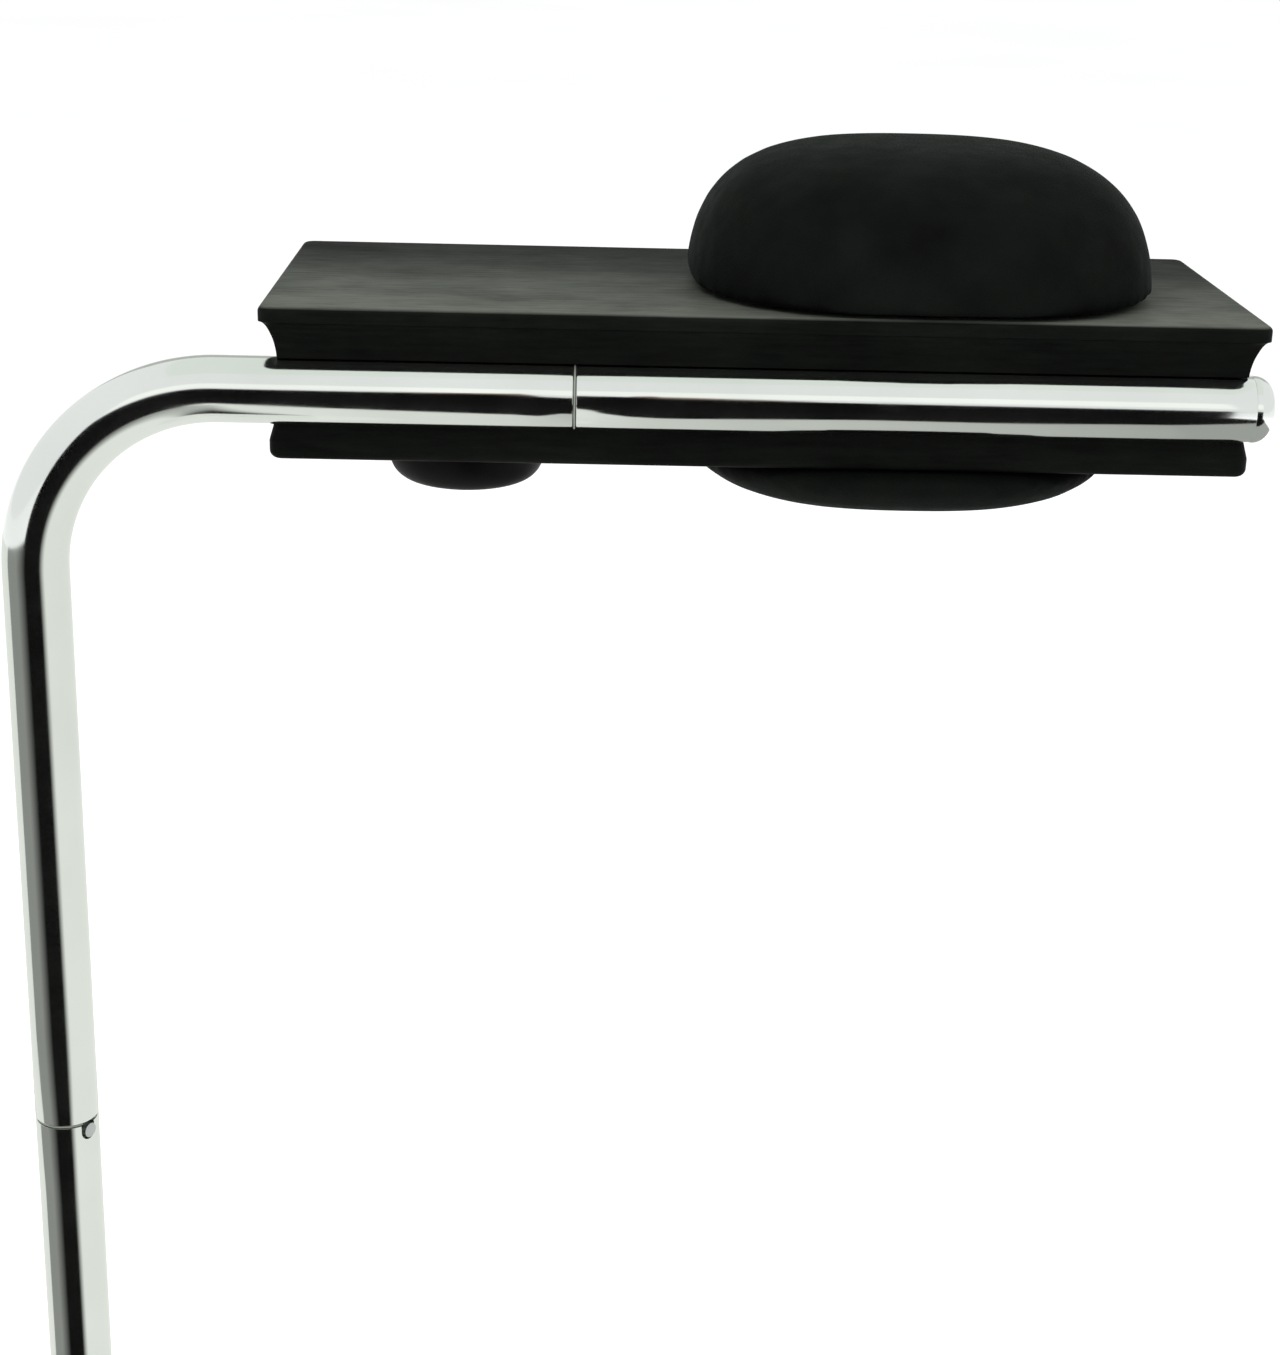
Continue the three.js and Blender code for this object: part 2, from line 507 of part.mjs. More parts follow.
function buildRail() {
  const railEnd = CAP_X0 - GAP;
  const tube = cut(
    level(TUBE_R, RAIL_X0, railEnd, 32),
    level(BORE_R, RAIL_X0 - 1, railEnd + 1, 32),
    ...BRACKET_X.map((x) => rod(
      SCREW_HOLE_R, point(x, 2, RAIL_SCREW_Z), point(x, TUBE_R + 3, RAIL_SCREW_Z), 10)));
  node(board, 'rail_tube', tube, chrome());

  const capRound = 7;
  const plugStart = CAP_X0 - 14;
  const cap = turnedLevel([
    [0, plugStart], [PLUG_R, plugStart], [PLUG_R, CAP_X0], [TUBE_R, CAP_X0],
    ...quarterTurn(4, (a) => [
      TUBE_R - capRound * (1 - Math.cos(a)), CAP_X1 - 0.6 - capRound * (1 - Math.sin(a))]),
    [0, CAP_X1]], 32);
  node(board, 'rail_end_cap', cap, chrome());

  // The flanged bush at the seam has a slot in which the stop pin ends the tilt both ways.
  const flangeX = ELBOW_END_X + GAP;
  const slotHalf = THREE.MathUtils.radToDeg(Math.asin(STOP_PIN_R / LINER_R)) + 1.5;
  const slot = new THREE.Shape();
  const [from, to] = [90 - TILT_UP - slotHalf, 90 + TILT_DOWN + slotHalf].map(THREE.MathUtils.degToRad);
  slot.absarc(0, 0, PLUG_R + 1, from, to, false);
  slot.absarc(0, 0, LINER_R - 1, to, from, true);
  const sleeveEnd = flangeX + 30;
  const seamBush = cut(
    turnedLevel([
      [LINER_R, flangeX], [FLANGE_R, flangeX], [FLANGE_R, flangeX + FLANGE_T],
      [PLUG_R, flangeX + FLANGE_T], [PLUG_R, sleeveEnd], [LINER_R, sleeveEnd]]),
    profileAlongX(slot, STOP_PIN_X - STOP_PIN_R - 0.4, STOP_PIN_X + STOP_PIN_R + 0.4, 10));
  node(board, 'tilt_bush_seam', seamBush, nylon());
  const innerEnd = TILT_SPIGOT_X[1] - GAP;
  const innerStart = innerEnd - 20;
  const innerBush = turnedLevel([
    [LINER_R, innerStart], [PLUG_R, innerStart], [PLUG_R, innerEnd], [LINER_R, innerEnd]]);
  node(board, 'tilt_bush_inner', innerBush, nylon());
}

function buildSpindleBushes() {
  const [inner, outer] = SPINDLE_BUSH_R;
  const under = 0.2; // the bushes end just inside the boss and the face
  const spans = [
    ['upper', SPINDLE_BOSS_Z[1] + under, BOARD_TOP - under],
    ['lower', BOARD_BOTTOM + under, SPINDLE_BOSS_Z[0] - under]];
  spans.forEach(([side, z0, z1]) => {
    const bush = cut(
      upright(outer, PAD_X, PAD_Y, z0, z1, 32),
      upright(inner, PAD_X, PAD_Y, z0 - 1, z1 + 1, 32));
    node(board, `spindle_bush_${side}`, bush, nylon());
  });
}

// Tilt clamp -----------------------------------------------------------------------------------
// The knob's stud pulls a jaw down onto the top of the elbow's level leg, against a saddle below.
const SADDLE_Y = [3, 72];
const SADDLE_Z = [-19, -PLATE_T / 2 - GAP];
const JAW_Z = [13.5, 22];
const JAW_REAR_Y = 70;
const JAW_ROOM_Z = 27.4; // the hollow over the jaw leaves room for its travel
const GUIDE_PIN_Z = [-13.5, 25];
const LINER_T = 1.6;
const LINER_ARC = [58, 88]; // degrees up from level, towards the rear
const DOME_POWER = 0.38; // the smaller, the boxier the knob's dome
const INSERT_R = 7;
const STUD_TOP = 27;
const STUD_COLLAR_R = 7.5;
const WASHER_R = 11;

function buildClamp() {
  const saddle = cut(
    box(...SADDLE_X, ...SADDLE_Y, ...SADDLE_Z),
    level(TUBE_R + GAP, SADDLE_X[0] - 1, SADDLE_X[1] + 1),
    upright(STUD_R + GAP, KNOB_X, KNOB_Y, SADDLE_Z[0] - 1, 0),
    ...GUIDE_Y.map((y) => upright(GUIDE_R + GAP, KNOB_X, y, GUIDE_PIN_Z[0] - 0.5, 0, 16)));
  node(board, 'clamp_saddle', saddle, castAlloy());
  GUIDE_Y.forEach((y, i) => {
    node(board, `clamp_guide_pin_${i + 1}`, upright(GUIDE_R, KNOB_X, y, ...GUIDE_PIN_Z, 16), steel());
  });

  // Over the tube the jaw is thin; behind it, it reaches further down.
  const [overTube, behindTube] = [JAW_Z[0] - 1.4, JAW_Z[0] - 4];
  const jawShape = new THREE.Shape([
    [JAW_FRONT_Y, overTube], [8.2, overTube], [16.5, behindTube], [JAW_REAR_Y, behindTube],
    [JAW_REAR_Y, JAW_Z[1]], [JAW_FRONT_Y, JAW_Z[1]]].map(([y, z]) => new THREE.Vector2(y, z)));
  const jaw = cut(
    profileAlongX(jawShape, ...JAW_X),
    level(TUBE_R + LINER_T + 2 * GAP, JAW_X[0] - 1, JAW_X[1] + 1, 32),
    upright(STUD_R + GAP, KNOB_X, KNOB_Y, 0, STUD_TOP),
    ...GUIDE_Y.map((y) => upright(GUIDE_R + GAP, KNOB_X, y, 0, STUD_TOP, 16)));
  node(clamp, 'clamp_jaw', jaw, darkSteel());
  const liner = new THREE.Shape();
  const [from, to] = LINER_ARC.map(THREE.MathUtils.degToRad);
  liner.absarc(0, 0, TUBE_R + GAP + LINER_T, from, to, false);
  liner.absarc(0, 0, TUBE_R + GAP, to, from, true);
  node(clamp, 'jaw_liner', profileAlongX(liner, JAW_X[0] + 1, JAW_X[1] - 1, 8), nylon());

  const skirtFoot = KNOB_TOP - 3.4; // the dome bulges below this height
  const pocketR = INSERT_R + GAP;
  const pocketFoot = KNOB_BOTTOM + 6;
  const rimR = WASHER_R + 1; // the knob is hollowed a little inside this radius
  const rimZ = KNOB_TOP - 0.6;
  const dome = quarterTurn(6, (a) => [
    KNOB_R * Math.cos(a) ** DOME_POWER, skirtFoot + (KNOB_BOTTOM - skirtFoot) * Math.sin(a)]);
  const knobProfile = [
    [rimR, KNOB_TOP], [KNOB_R - 2, KNOB_TOP], [KNOB_R, KNOB_TOP - 1.8], ...dome.slice(0, -1),
    [0, KNOB_BOTTOM], [0, pocketFoot], [pocketR, pocketFoot], [pocketR, rimZ], [rimR, rimZ]];
  const knob = solid(turned(knobProfile, 32).rotateX(Math.PI / 2).translate(KNOB_X, KNOB_Y, 0));
  node(clamp, 'clamp_knob', knob, blackPlastic());
  const insertFoot = pocketFoot + GAP;
  const insert = cut(
    upright(INSERT_R, KNOB_X, KNOB_Y, insertFoot, KNOB_TOP - GAP, 12),
    upright(STUD_R + GAP, KNOB_X, KNOB_Y, insertFoot + 1.2, 0));
  node(clamp, 'knob_insert', insert, brass());
  const collarZ = [BOARD_BOTTOM + SHELL_WALL + GAP, SADDLE_Z[0] - GAP];
  const stud = upright(STUD_R, KNOB_X, KNOB_Y, insertFoot + 1.7, STUD_TOP)
    .add(upright(STUD_COLLAR_R, KNOB_X, KNOB_Y, ...collarZ));
  node(clamp, 'knob_stud', stud, steel());
  const washer = cut(
    upright(WASHER_R, KNOB_X, KNOB_Y, KNOB_TOP + GAP, BOARD_BOTTOM - GAP, 32),
    upright(STUD_R + GAP, KNOB_X, KNOB_Y, KNOB_BOTTOM, 0));
  node(clamp, 'knob_washer', washer, nylon());
}

// Head pad -------------------------------------------------------------------------------------
// One pebble shape, a superellipsoid, that the board passes through: a cushion above and one below,
// each on its own base, joined by a spindle so that both turn together.
function pebble({ shift, height, power }) {
  const geometry = new THREE.SphereGeometry(1, 32, 16).rotateX(Math.PI / 2);
  const place = geometry.attributes.position;
  for (let i = 0; i < place.count; i += 1) {
    const v = point(place.getX(i), place.getY(i), place.getZ(i));
    const reach = (Math.abs(v.x) ** PLAN_POWER + Math.abs(v.y) ** PLAN_POWER) ** (1 / PLAN_POWER);
    v.multiplyScalar((reach ** power + Math.abs(v.z) ** power) ** (-1 / power));
    place.setXYZ(i, v.x * PAD_HALF[0], v.y * PAD_HALF[1], v.z * height);
  }
  return solid(geometry.translate(PAD_X + shift, PAD_Y, PAD_Z));
}
function baseOutline(margin) {
  const [width, depth] = PAD_HALF.map((half) => half * PAD_BASE_SHARE + margin);
  const steps = 24;
  const outline = Array.from({ length: steps }, (_, i) => {
    const a = (i / steps) * 2 * Math.PI;
    const [c, s] = [Math.cos(a), Math.sin(a)];
    const reach = (Math.abs(c) ** PLAN_POWER + Math.abs(s) ** PLAN_POWER) ** (-1 / PLAN_POWER);
    return new THREE.Vector2(PAD_X + c * reach * width, PAD_Y + s * reach * depth);
  });
  return new THREE.Shape(outline);
}

const BASE_SCREW_DX = 17; // the base screws stand this far from the spindle's axis
const BASE_SCREW_R = 1.8;
const BASE_SCREW_HEAD_T = 2;
const SHAFT_PAST_NUT = 1.3; // the spindle's thread stands out of its nut
const baseScrewHoles = (z0, z1) =>
  [-1, 1].map((k) => upright(BASE_SCREW_R + GAP, PAD_X + k * BASE_SCREW_DX, PAD_Y, z0, z1, 8));

// side is +1 for the half above the board and -1 for the half below.
function buildPadHalf(name, side, shape) {
  const span = (a, b) => [Math.min(a, b), Math.max(a, b)];
  const boardFace = side > 0 ? BOARD_TOP : BOARD_BOTTOM;
  const face = boardFace + side * CUSHION_GAP;
  const baseNear = face + side * BASE_GAP;
  const baseFar = baseNear + side * PAD_BASE_T;
  const flangeFar = baseFar + side * (GAP + SPINDLE_FLANGE_T);
  const hollowEnd = side > 0
    ? flangeFar + BASE_SCREW_HEAD_T + 2
    : flangeFar - SPINDLE_NUT_T - SHAFT_PAST_NUT - 1.1;
  const reach = PAD_HALF[0] + 10;
  const farOut = side * 2 * shape.height;

  const half = box(PAD_X - reach, PAD_X + reach, PAD_Y - reach, PAD_Y + reach, ...span(face, farOut));
  const cushion = cut(
    pebble(shape).intersect(half),
    profileAlongZ(baseOutline(GAP), ...span(face - side, baseFar + side * GAP)),
    upright(SPINDLE_FLANGE_R + 2, PAD_X, PAD_Y, ...span(face, hollowEnd), 32));
  node(pad, `${name}_pad_cushion`, cushion, padSkin());

  const base = cut(
    profileAlongZ(baseOutline(0), ...span(baseNear, baseFar)),
    upright(SPINDLE_R + GAP, PAD_X, PAD_Y, ...span(face, baseFar + side)),
    ...baseScrewHoles(...span(face, baseFar + side)));
  node(pad, `${name}_pad_base`, base, blackPlastic());

  const washer = cut(
    upright(SWIVEL_WASHER_R, PAD_X, PAD_Y, ...span(boardFace + side * GAP, baseNear - side * GAP), 24),
    upright(SPINDLE_R + GAP, PAD_X, PAD_Y, ...span(boardFace - side, baseFar)));
  node(pad, `swivel_washer_${name}`, washer, nylon());

  const screwHead = flangeFar + side * GAP;
  [-1, 1].forEach((k, i) => {
    const x = PAD_X + k * BASE_SCREW_DX;
    const headTop = screwHead + side * BASE_SCREW_HEAD_T;
    const body = screw(x, PAD_Y, headTop, screwHead, baseNear, FOOT_SCREW_HEAD_R, BASE_SCREW_R);
    node(pad, `base_screw_${name}_${i + 1}`, body, darkSteel());
  });
  return { baseFar, flangeFar };
}

function buildPad() {
  const upper = buildPadHalf('upper', 1, UPPER_PEBBLE);
  const lower = buildPadHalf('lower', -1, LOWER_PEBBLE);
  const shaftFoot = lower.flangeFar - SPINDLE_NUT_T - SHAFT_PAST_NUT;
  const spindle = cut(
    upright(SPINDLE_R, PAD_X, PAD_Y, shaftFoot, upper.flangeFar, 32)
      .add(upright(SPINDLE_FLANGE_R, PAD_X, PAD_Y, upper.baseFar + GAP, upper.flangeFar, 32)),
    ...baseScrewHoles(upper.baseFar - 1, upper.flangeFar + 1));
  node(pad, 'pad_spindle', spindle, steel());
  const flange = cut(
    upright(SPINDLE_FLANGE_R, PAD_X, PAD_Y, lower.flangeFar, lower.baseFar - GAP, 32),
    upright(SPINDLE_R + GAP, PAD_X, PAD_Y, lower.flangeFar - 1, lower.baseFar + 1),
    ...baseScrewHoles(lower.flangeFar - 1, lower.baseFar + 1));
  node(pad, 'spindle_lower_flange', flange, steel());
  const nutTop = lower.flangeFar - GAP;
  const nut = cut(
    upright(SPINDLE_NUT_R, PAD_X, PAD_Y, nutTop - SPINDLE_NUT_T, nutTop, 6),
    upright(SPINDLE_R + GAP, PAD_X, PAD_Y, nutTop - SPINDLE_NUT_T - 1, nutTop + 1));
  node(pad, 'spindle_nut', nut, steel());
}

buildPost();
buildArm();
buildRail();
buildUpperShell();
buildLowerShell();
buildCore();
buildSpindleBushes();
buildClamp();
buildPad();

export default headrest;
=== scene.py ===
"""Looks of a swivelling head pad on a tilting board, carried by a cranked chrome arm.

Everything is in metres in the CAD frame: +X along the arm, +Y to the rear, +Z up, with the origin
at the centre of the post's foot. Sizes come from the CAD nodes' boxes wherever they can.
"""
import json
import math

import bmesh
import bpy
from mathutils import Matrix, Vector


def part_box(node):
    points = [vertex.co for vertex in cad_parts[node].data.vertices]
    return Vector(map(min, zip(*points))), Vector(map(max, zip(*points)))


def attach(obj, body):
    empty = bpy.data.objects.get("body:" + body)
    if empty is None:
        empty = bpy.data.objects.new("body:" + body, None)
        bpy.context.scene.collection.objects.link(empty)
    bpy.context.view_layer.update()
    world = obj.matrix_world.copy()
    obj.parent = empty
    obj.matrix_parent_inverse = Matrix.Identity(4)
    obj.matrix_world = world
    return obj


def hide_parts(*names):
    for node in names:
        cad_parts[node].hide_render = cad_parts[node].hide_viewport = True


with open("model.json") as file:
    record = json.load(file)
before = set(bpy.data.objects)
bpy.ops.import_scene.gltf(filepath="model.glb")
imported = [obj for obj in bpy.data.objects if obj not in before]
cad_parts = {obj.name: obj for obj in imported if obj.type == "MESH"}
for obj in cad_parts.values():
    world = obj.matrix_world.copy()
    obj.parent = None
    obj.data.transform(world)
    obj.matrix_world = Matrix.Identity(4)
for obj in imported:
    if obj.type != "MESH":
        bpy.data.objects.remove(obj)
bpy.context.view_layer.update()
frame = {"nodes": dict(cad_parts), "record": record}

MM = 0.001

# Sizes read from the frame ----------------------------------------------------------------------
POST_LOW, POST_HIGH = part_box("post_tube")
ELBOW_LOW, ELBOW_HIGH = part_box("elbow_tube")
RAIL_LOW, RAIL_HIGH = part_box("rail_tube")
CAP_LOW, CAP_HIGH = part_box("rail_end_cap")
UPPER_LOW, UPPER_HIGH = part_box("board_upper_shell")
LOWER_LOW, LOWER_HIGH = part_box("board_lower_shell")
UPPER_PAD_LOW, UPPER_PAD_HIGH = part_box("upper_pad_cushion")
LOWER_PAD_LOW, LOWER_PAD_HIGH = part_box("lower_pad_cushion")
KNOB_LOW, KNOB_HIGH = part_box("clamp_knob")
SADDLE_LOW, SADDLE_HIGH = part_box("clamp_saddle")
JAW_LOW, JAW_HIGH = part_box("clamp_jaw")
SPINDLE_LOW, SPINDLE_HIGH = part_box("pad_spindle")

TUBE_R = (POST_HIGH.x - POST_LOW.x) / 2
BORE_R = TUBE_R - 1.5 * MM
AXIS_Z = ELBOW_HIGH.z - TUBE_R  # height of the tilt axis
BEND_R = 70 * MM
GAP = 0.3 * MM

# Side moulding of the board, as in the CAD model
LIP_ROUND = 2.2 * MM
LOWER_ROUND = 3 * MM
COVE_DEPTH = 4.4 * MM
OVERHANG = 1.9 * MM  # how much further the upper lip stands out
UPPER_COVE = (AXIS_Z + 26.6 * MM, AXIS_Z + 10 * MM, 2)  # where the hollow starts, ends, and its power
LOWER_COVE = (AXIS_Z - 20 * MM, AXIS_Z - 1 * MM, 1.2)
COVE_EASE = 0.5 * MM  # softens the edge between a lip and the hollow
CORNER_R = 5 * MM
SHELL_WALL = 3 * MM
GROOVE_R = TUBE_R + 0.5 * MM

# The pebble shape of the head pad, as in the CAD model: one outline from above, and for each half
# how far its centre stands off the swivel axis, its height and how square its side view is.
PAD_HALF = (89.6 * MM, 81 * MM)
PLAN_POWER = 2.6
PAD_Z = AXIS_Z + 13 * MM
UPPER_PEBBLE = (2.9 * MM, UPPER_PAD_HIGH.z - PAD_Z, 3.35)
LOWER_PEBBLE = (-2.2 * MM, PAD_Z - LOWER_PAD_LOW.z, 3.6)


# Materials --------------------------------------------------------------------------------------
class Look:
    """A procedural material: a Principled shader and the nodes that feed it."""

    def __init__(self, name, roughness=0.5, metallic=0.0, **fixed):
        self.material = bpy.data.materials.new(name)
        self.material.use_nodes = True
        self.nodes = self.material.node_tree.nodes
        self.links = self.material.node_tree.links
        self.shader = self.nodes["Principled BSDF"]
        self.shader.inputs["Roughness"].default_value = roughness
        self.shader.inputs["Metallic"].default_value = metallic
        for socket, value in fixed.items():
            self.shader.inputs[socket.replace("_", " ")].default_value = value
        self.place = self.nodes.new("ShaderNodeTexCoord").outputs["Object"]
        self.height = None

    def stretched(self, scale, turn=(0, 0, 0)):
        mapping = self.nodes.new("ShaderNodeMapping")
        mapping.inputs["Scale"].default_value = scale
        mapping.inputs["Rotation"].default_value = turn
        self.links.new(self.place, mapping.inputs["Vector"])
        return mapping.outputs["Vector"]

    def noise(self, scale, detail=4.0, roughness=0.5, stretch=(1, 1, 1)):
        texture = self.nodes.new("ShaderNodeTexNoise")
        texture.inputs["Scale"].default_value = scale
        texture.inputs["Detail"].default_value = detail
        texture.inputs["Roughness"].default_value = roughness
        self.links.new(self.stretched(stretch), texture.inputs["Vector"])
        return texture.outputs["Fac"]

    def cells(self, scale, feature="F1", stretch=(1, 1, 1), randomness=1.0):
        texture = self.nodes.new("ShaderNodeTexVoronoi")
        texture.feature = feature
        texture.inputs["Scale"].default_value = scale
        texture.inputs["Randomness"].default_value = randomness
        self.links.new(self.stretched(stretch), texture.inputs["Vector"])
        return texture.outputs["Distance"]

    def spread(self, value, low, high, to_low, to_high):
        node = self.nodes.new("ShaderNodeMapRange")
        sockets = ("From Min", "From Max", "To Min", "To Max")
        for socket, number in zip(sockets, (low, high, to_low, to_high)):
            node.inputs[socket].default_value = number
        self.links.new(value, node.inputs["Value"])
        return node.outputs["Result"]

    def blended(self, first, second, share):
        """Two values mixed, with this share of the second."""
        mix = self.nodes.new("ShaderNodeMix")
        mix.data_type = "FLOAT"
        mix.inputs["Factor"].default_value = share
        self.links.new(first, mix.inputs["A"])
        self.links.new(second, mix.inputs["B"])
        return mix.outputs["Result"]

    def along(self, axis):
        """The place along one of the object's own axes."""
        split = self.nodes.new("ShaderNodeSeparateXYZ")
        self.links.new(self.place, split.inputs["Vector"])
        return split.outputs[axis]

    def combined(self, operation, first, second):
        node = self.nodes.new("ShaderNodeMath")
        node.operation = operation
        self.links.new(first, node.inputs[0])
        self.links.new(second, node.inputs[1])
        return node.outputs["Value"]

    def ramp(self, value, *stops):
        ramp = self.nodes.new("ShaderNodeValToRGB")
        while len(ramp.color_ramp.elements) < len(stops):
            ramp.color_ramp.elements.new(0.5)
        for element, (position, rgb) in zip(ramp.color_ramp.elements, stops):
            element.position = position
            element.color = (*rgb, 1)
        self.links.new(value, ramp.inputs["Fac"])
        return ramp.outputs["Color"]

    def colour(self, value, *stops):
        self.links.new(self.ramp(value, *stops), self.shader.inputs["Base Color"])

    def rough(self, value):
        self.links.new(value, self.shader.inputs["Roughness"])

    def bump(self, value, distance, strength=1.0):
        node = self.nodes.new("ShaderNodeBump")
        node.inputs["Distance"].default_value = distance
        node.inputs["Strength"].default_value = strength
        self.links.new(value, node.inputs["Height"])
        if self.height is not None:
            self.links.new(self.height, node.inputs["Normal"])
        self.height = node.outputs["Normal"]
        self.links.new(self.height, self.shader.inputs["Normal"])


def chrome_look():
    look = Look("bright_chrome", metallic=1.0)
    cloud = look.noise(16, detail=5)
    look.colour(cloud, (0.3, (0.76, 0.785, 0.76)), (0.7, (0.83, 0.85, 0.83)))
    look.rough(look.spread(look.noise(60, detail=6), 0.3, 0.75, 0.08, 0.14))
    look.bump(look.noise(22, detail=2), 0.0006, 0.10)
    return look.material


def turned_steel_look():
    look = Look("turned_steel", metallic=1.0)
    look.colour(look.noise(40, detail=6), (0.3, (0.42, 0.43, 0.44)), (0.7, (0.60, 0.61, 0.62)))
    look.rough(look.spread(look.noise(300, detail=3), 0.3, 0.7, 0.22, 0.42))
    look.bump(look.noise(900, detail=2), 0.0001, 0.3)
    return look.material


def blackened_steel_look():
    look = Look("blackened_steel", metallic=0.8)
    look.colour(look.noise(70, detail=6), (0.3, (0.03, 0.03, 0.034)), (0.75, (0.075, 0.075, 0.08)))
    look.rough(look.spread(look.noise(250, detail=4), 0.3, 0.7, 0.38, 0.6))
    look.bump(look.noise(700, detail=3), 0.0001, 0.3)
    return look.material


def cast_alloy_look():
    look = Look("cast_alloy", metallic=1.0)
    look.colour(look.noise(50, detail=6), (0.3, (0.46, 0.47, 0.48)), (0.7, (0.62, 0.63, 0.64)))
    look.rough(look.spread(look.noise(200, detail=4), 0.3, 0.7, 0.45, 0.65))
    look.bump(look.noise(500, detail=4), 0.0003, 0.5)
    return look.material


def brass_look():
    look = Look("turned_brass", metallic=1.0)
    look.colour(look.noise(60, detail=5), (0.3, (0.52, 0.36, 0.13)), (0.7, (0.70, 0.52, 0.22)))
    look.rough(look.spread(look.noise(220, detail=3), 0.3, 0.7, 0.22, 0.42))
    look.bump(look.noise(800, detail=2), 0.0001, 0.3)
    return look.material


def nylon_look():
    look = Look("natural_nylon")
    look.colour(look.noise(30, detail=4), (0.3, (0.20, 0.215, 0.185)), (0.7, (0.27, 0.29, 0.25)))
    look.rough(look.spread(look.noise(160, detail=3), 0.3, 0.7, 0.4, 0.6))
    look.bump(look.noise(600, detail=2), 0.0001, 0.3)
    return look.material


def black_plastic_look():
    look = Look("satin_black_plastic", Specular_IOR_Level=0.08)
    look.colour(look.noise(45, detail=5), (0.3, (0.0022, 0.0024, 0.0022)), (0.7, (0.0048, 0.0052, 0.0049)))
    look.rough(look.spread(look.noise(90, detail=5), 0.3, 0.7, 0.44, 0.60))
    look.bump(look.noise(1600, detail=3), 0.00008, 0.5)
    return look.material


def board_look():
    """Satin black. The top carries a painted sheen, paler towards the front, with a fine grain along the
    board.
    """
    look = Look("board_satin_black", Specular_IOR_Level=0.04)
    patches = look.noise(22, detail=7, roughness=0.6, stretch=(1, 1.2, 1.2))
    grain = look.noise(320, detail=5, roughness=0.65, stretch=(0.15, 1.3, 1.3))
    flecks = look.blended(patches, grain, 0.45)
    # Painted sheen: the top face alone is coloured paler towards the front, as its sheen looks, and the
    # patches break it up; the flecks added after it are the board's own uneven tone.
    on_top = look.spread(look.along("Z"), UPPER_HIGH.z - 0.9 * MM, UPPER_HIGH.z - 0.1 * MM, 0, 1)
    frontness = look.spread(look.along("Y"), UPPER_HIGH.y - 24 * MM, UPPER_LOW.y, 0.0, 1.0)
    painted_sheen = look.combined("MULTIPLY", on_top, frontness)
    painted_sheen = look.combined("MULTIPLY", painted_sheen, look.spread(flecks, 0.34, 0.66, 0.55, 1.35))
    sheen_and_grain = look.combined("ADD", painted_sheen, look.spread(flecks, 0.3, 0.7, 0.0, 0.05))
    look.colour(
        sheen_and_grain, (0.0, (0.0014, 0.0018, 0.0015)), (0.05, (0.0070, 0.0084, 0.0070)),
        (1.0, (0.083, 0.090, 0.076)))
    look.rough(look.spread(flecks, 0.35, 0.65, 0.60, 0.46))
    look.bump(grain, 0.00008, 0.4)
    look.bump(look.cells(1500), 0.00005, 0.5)
    return look.material


def pad_look():
    """Matt integral-skin foam: a close pebbled grain over a barely uneven surface."""
    look = Look("pad_matt_black", Specular_IOR_Level=0.045, Sheen_Weight=0.014, Sheen_Roughness=0.35)
    look.shader.inputs["Sheen Tint"].default_value = (0.55, 0.85, 0.66, 1)
    look.colour(look.noise(35, detail=6), (0.3, (0.0022, 0.0026, 0.0023)), (0.7, (0.0046, 0.0056, 0.0048)))
    look.rough(look.spread(look.noise(120, detail=4), 0.3, 0.7, 0.70, 0.86))
    look.bump(look.noise(30, detail=3), 0.0008, 0.10)
    look.bump(look.cells(1000, randomness=0.9), 0.00016, 0.55)
    return look.material


CHROME = chrome_look()
STEEL = turned_steel_look()
DARK_STEEL = blackened_steel_look()
ALLOY = cast_alloy_look()
BRASS = brass_look()
NYLON = nylon_look()
PLASTIC = black_plastic_look()
BOARD = board_look()
PAD = pad_look()
LOOK_OF_SLOT = {
    "chrome": CHROME, "bright_steel": STEEL, "dark_steel": DARK_STEEL, "cast_alloy": ALLOY,
    "brass": BRASS, "nylon": NYLON, "black_plastic": PLASTIC, "board_black": BOARD, "pad_skin": PAD,
}
SLOT_OF_NODE = {part["node"]: part["material_slot"] for part in frame["record"]["subparts"]}
BODY_OF_NODE = {
    node: body for body, nodes in frame["record"]["behaviour"]["bodies"].items() for node in nodes}


def paint_cad_nodes():
    for name, obj in frame["nodes"].items():
        obj.data.materials.clear()
        obj.data.materials.append(LOOK_OF_SLOT[SLOT_OF_NODE[name]])


# Mesh helpers -----------------------------------------------------------------------------------
def piece(name, vertices, faces, node, sharp_angle=35):
    """A smooth-shaded mesh that stands for a CAD node: same body, same material slot."""
    mesh = bpy.data.meshes.new(name)
    mesh.from_pydata([tuple(v) for v in vertices], [], faces)
    mesh.materials.append(LOOK_OF_SLOT[SLOT_OF_NODE[node]])
    obj = bpy.data.objects.new(name, mesh)
    bpy.context.scene.collection.objects.link(obj)
    face_outward(mesh)
    shade(mesh, sharp_angle)
    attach(obj, BODY_OF_NODE[node])
    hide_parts(node)
    return obj


def face_outward(mesh):
    bm = bmesh.new()
    bm.from_mesh(mesh)
    bmesh.ops.remove_doubles(bm, verts=bm.verts, dist=1e-7)
    bmesh.ops.recalc_face_normals(bm, faces=bm.faces)
    bm.to_mesh(mesh)
    bm.free()


def shade(mesh, sharp_angle):
    mesh.shade_smooth()
    mesh.set_sharp_from_angle(angle=math.radians(sharp_angle))


def skin(rings, loop=False):
    """Faces between neighbouring rings of points. A ring of one point is a pole."""
    vertices = [p for ring in rings for p in ring]
    starts = [sum(len(r) for r in rings[:i]) for i in range(len(rings))]
    faces = []
    pairs = list(zip(range(len(rings)), range(1, len(rings))))
    if loop:
        pairs.append((len(rings) - 1, 0))
    for a, b in pairs:
        count = max(len(rings[a]), len(rings[b]))
        for k in range(count):
            following = (k + 1) % count
            corners = [
                starts[a] + k % len(rings[a]), starts[a] + following % len(rings[a]),
                starts[b] + following % len(rings[b]), starts[b] + k % len(rings[b])]
            faces.append(list(dict.fromkeys(corners)))
    if not loop:
        for i in (0, -1):
            if len(rings[i]) > 1:
                faces.append([starts[i] + k for k in range(len(rings[i]))])
    return vertices, faces


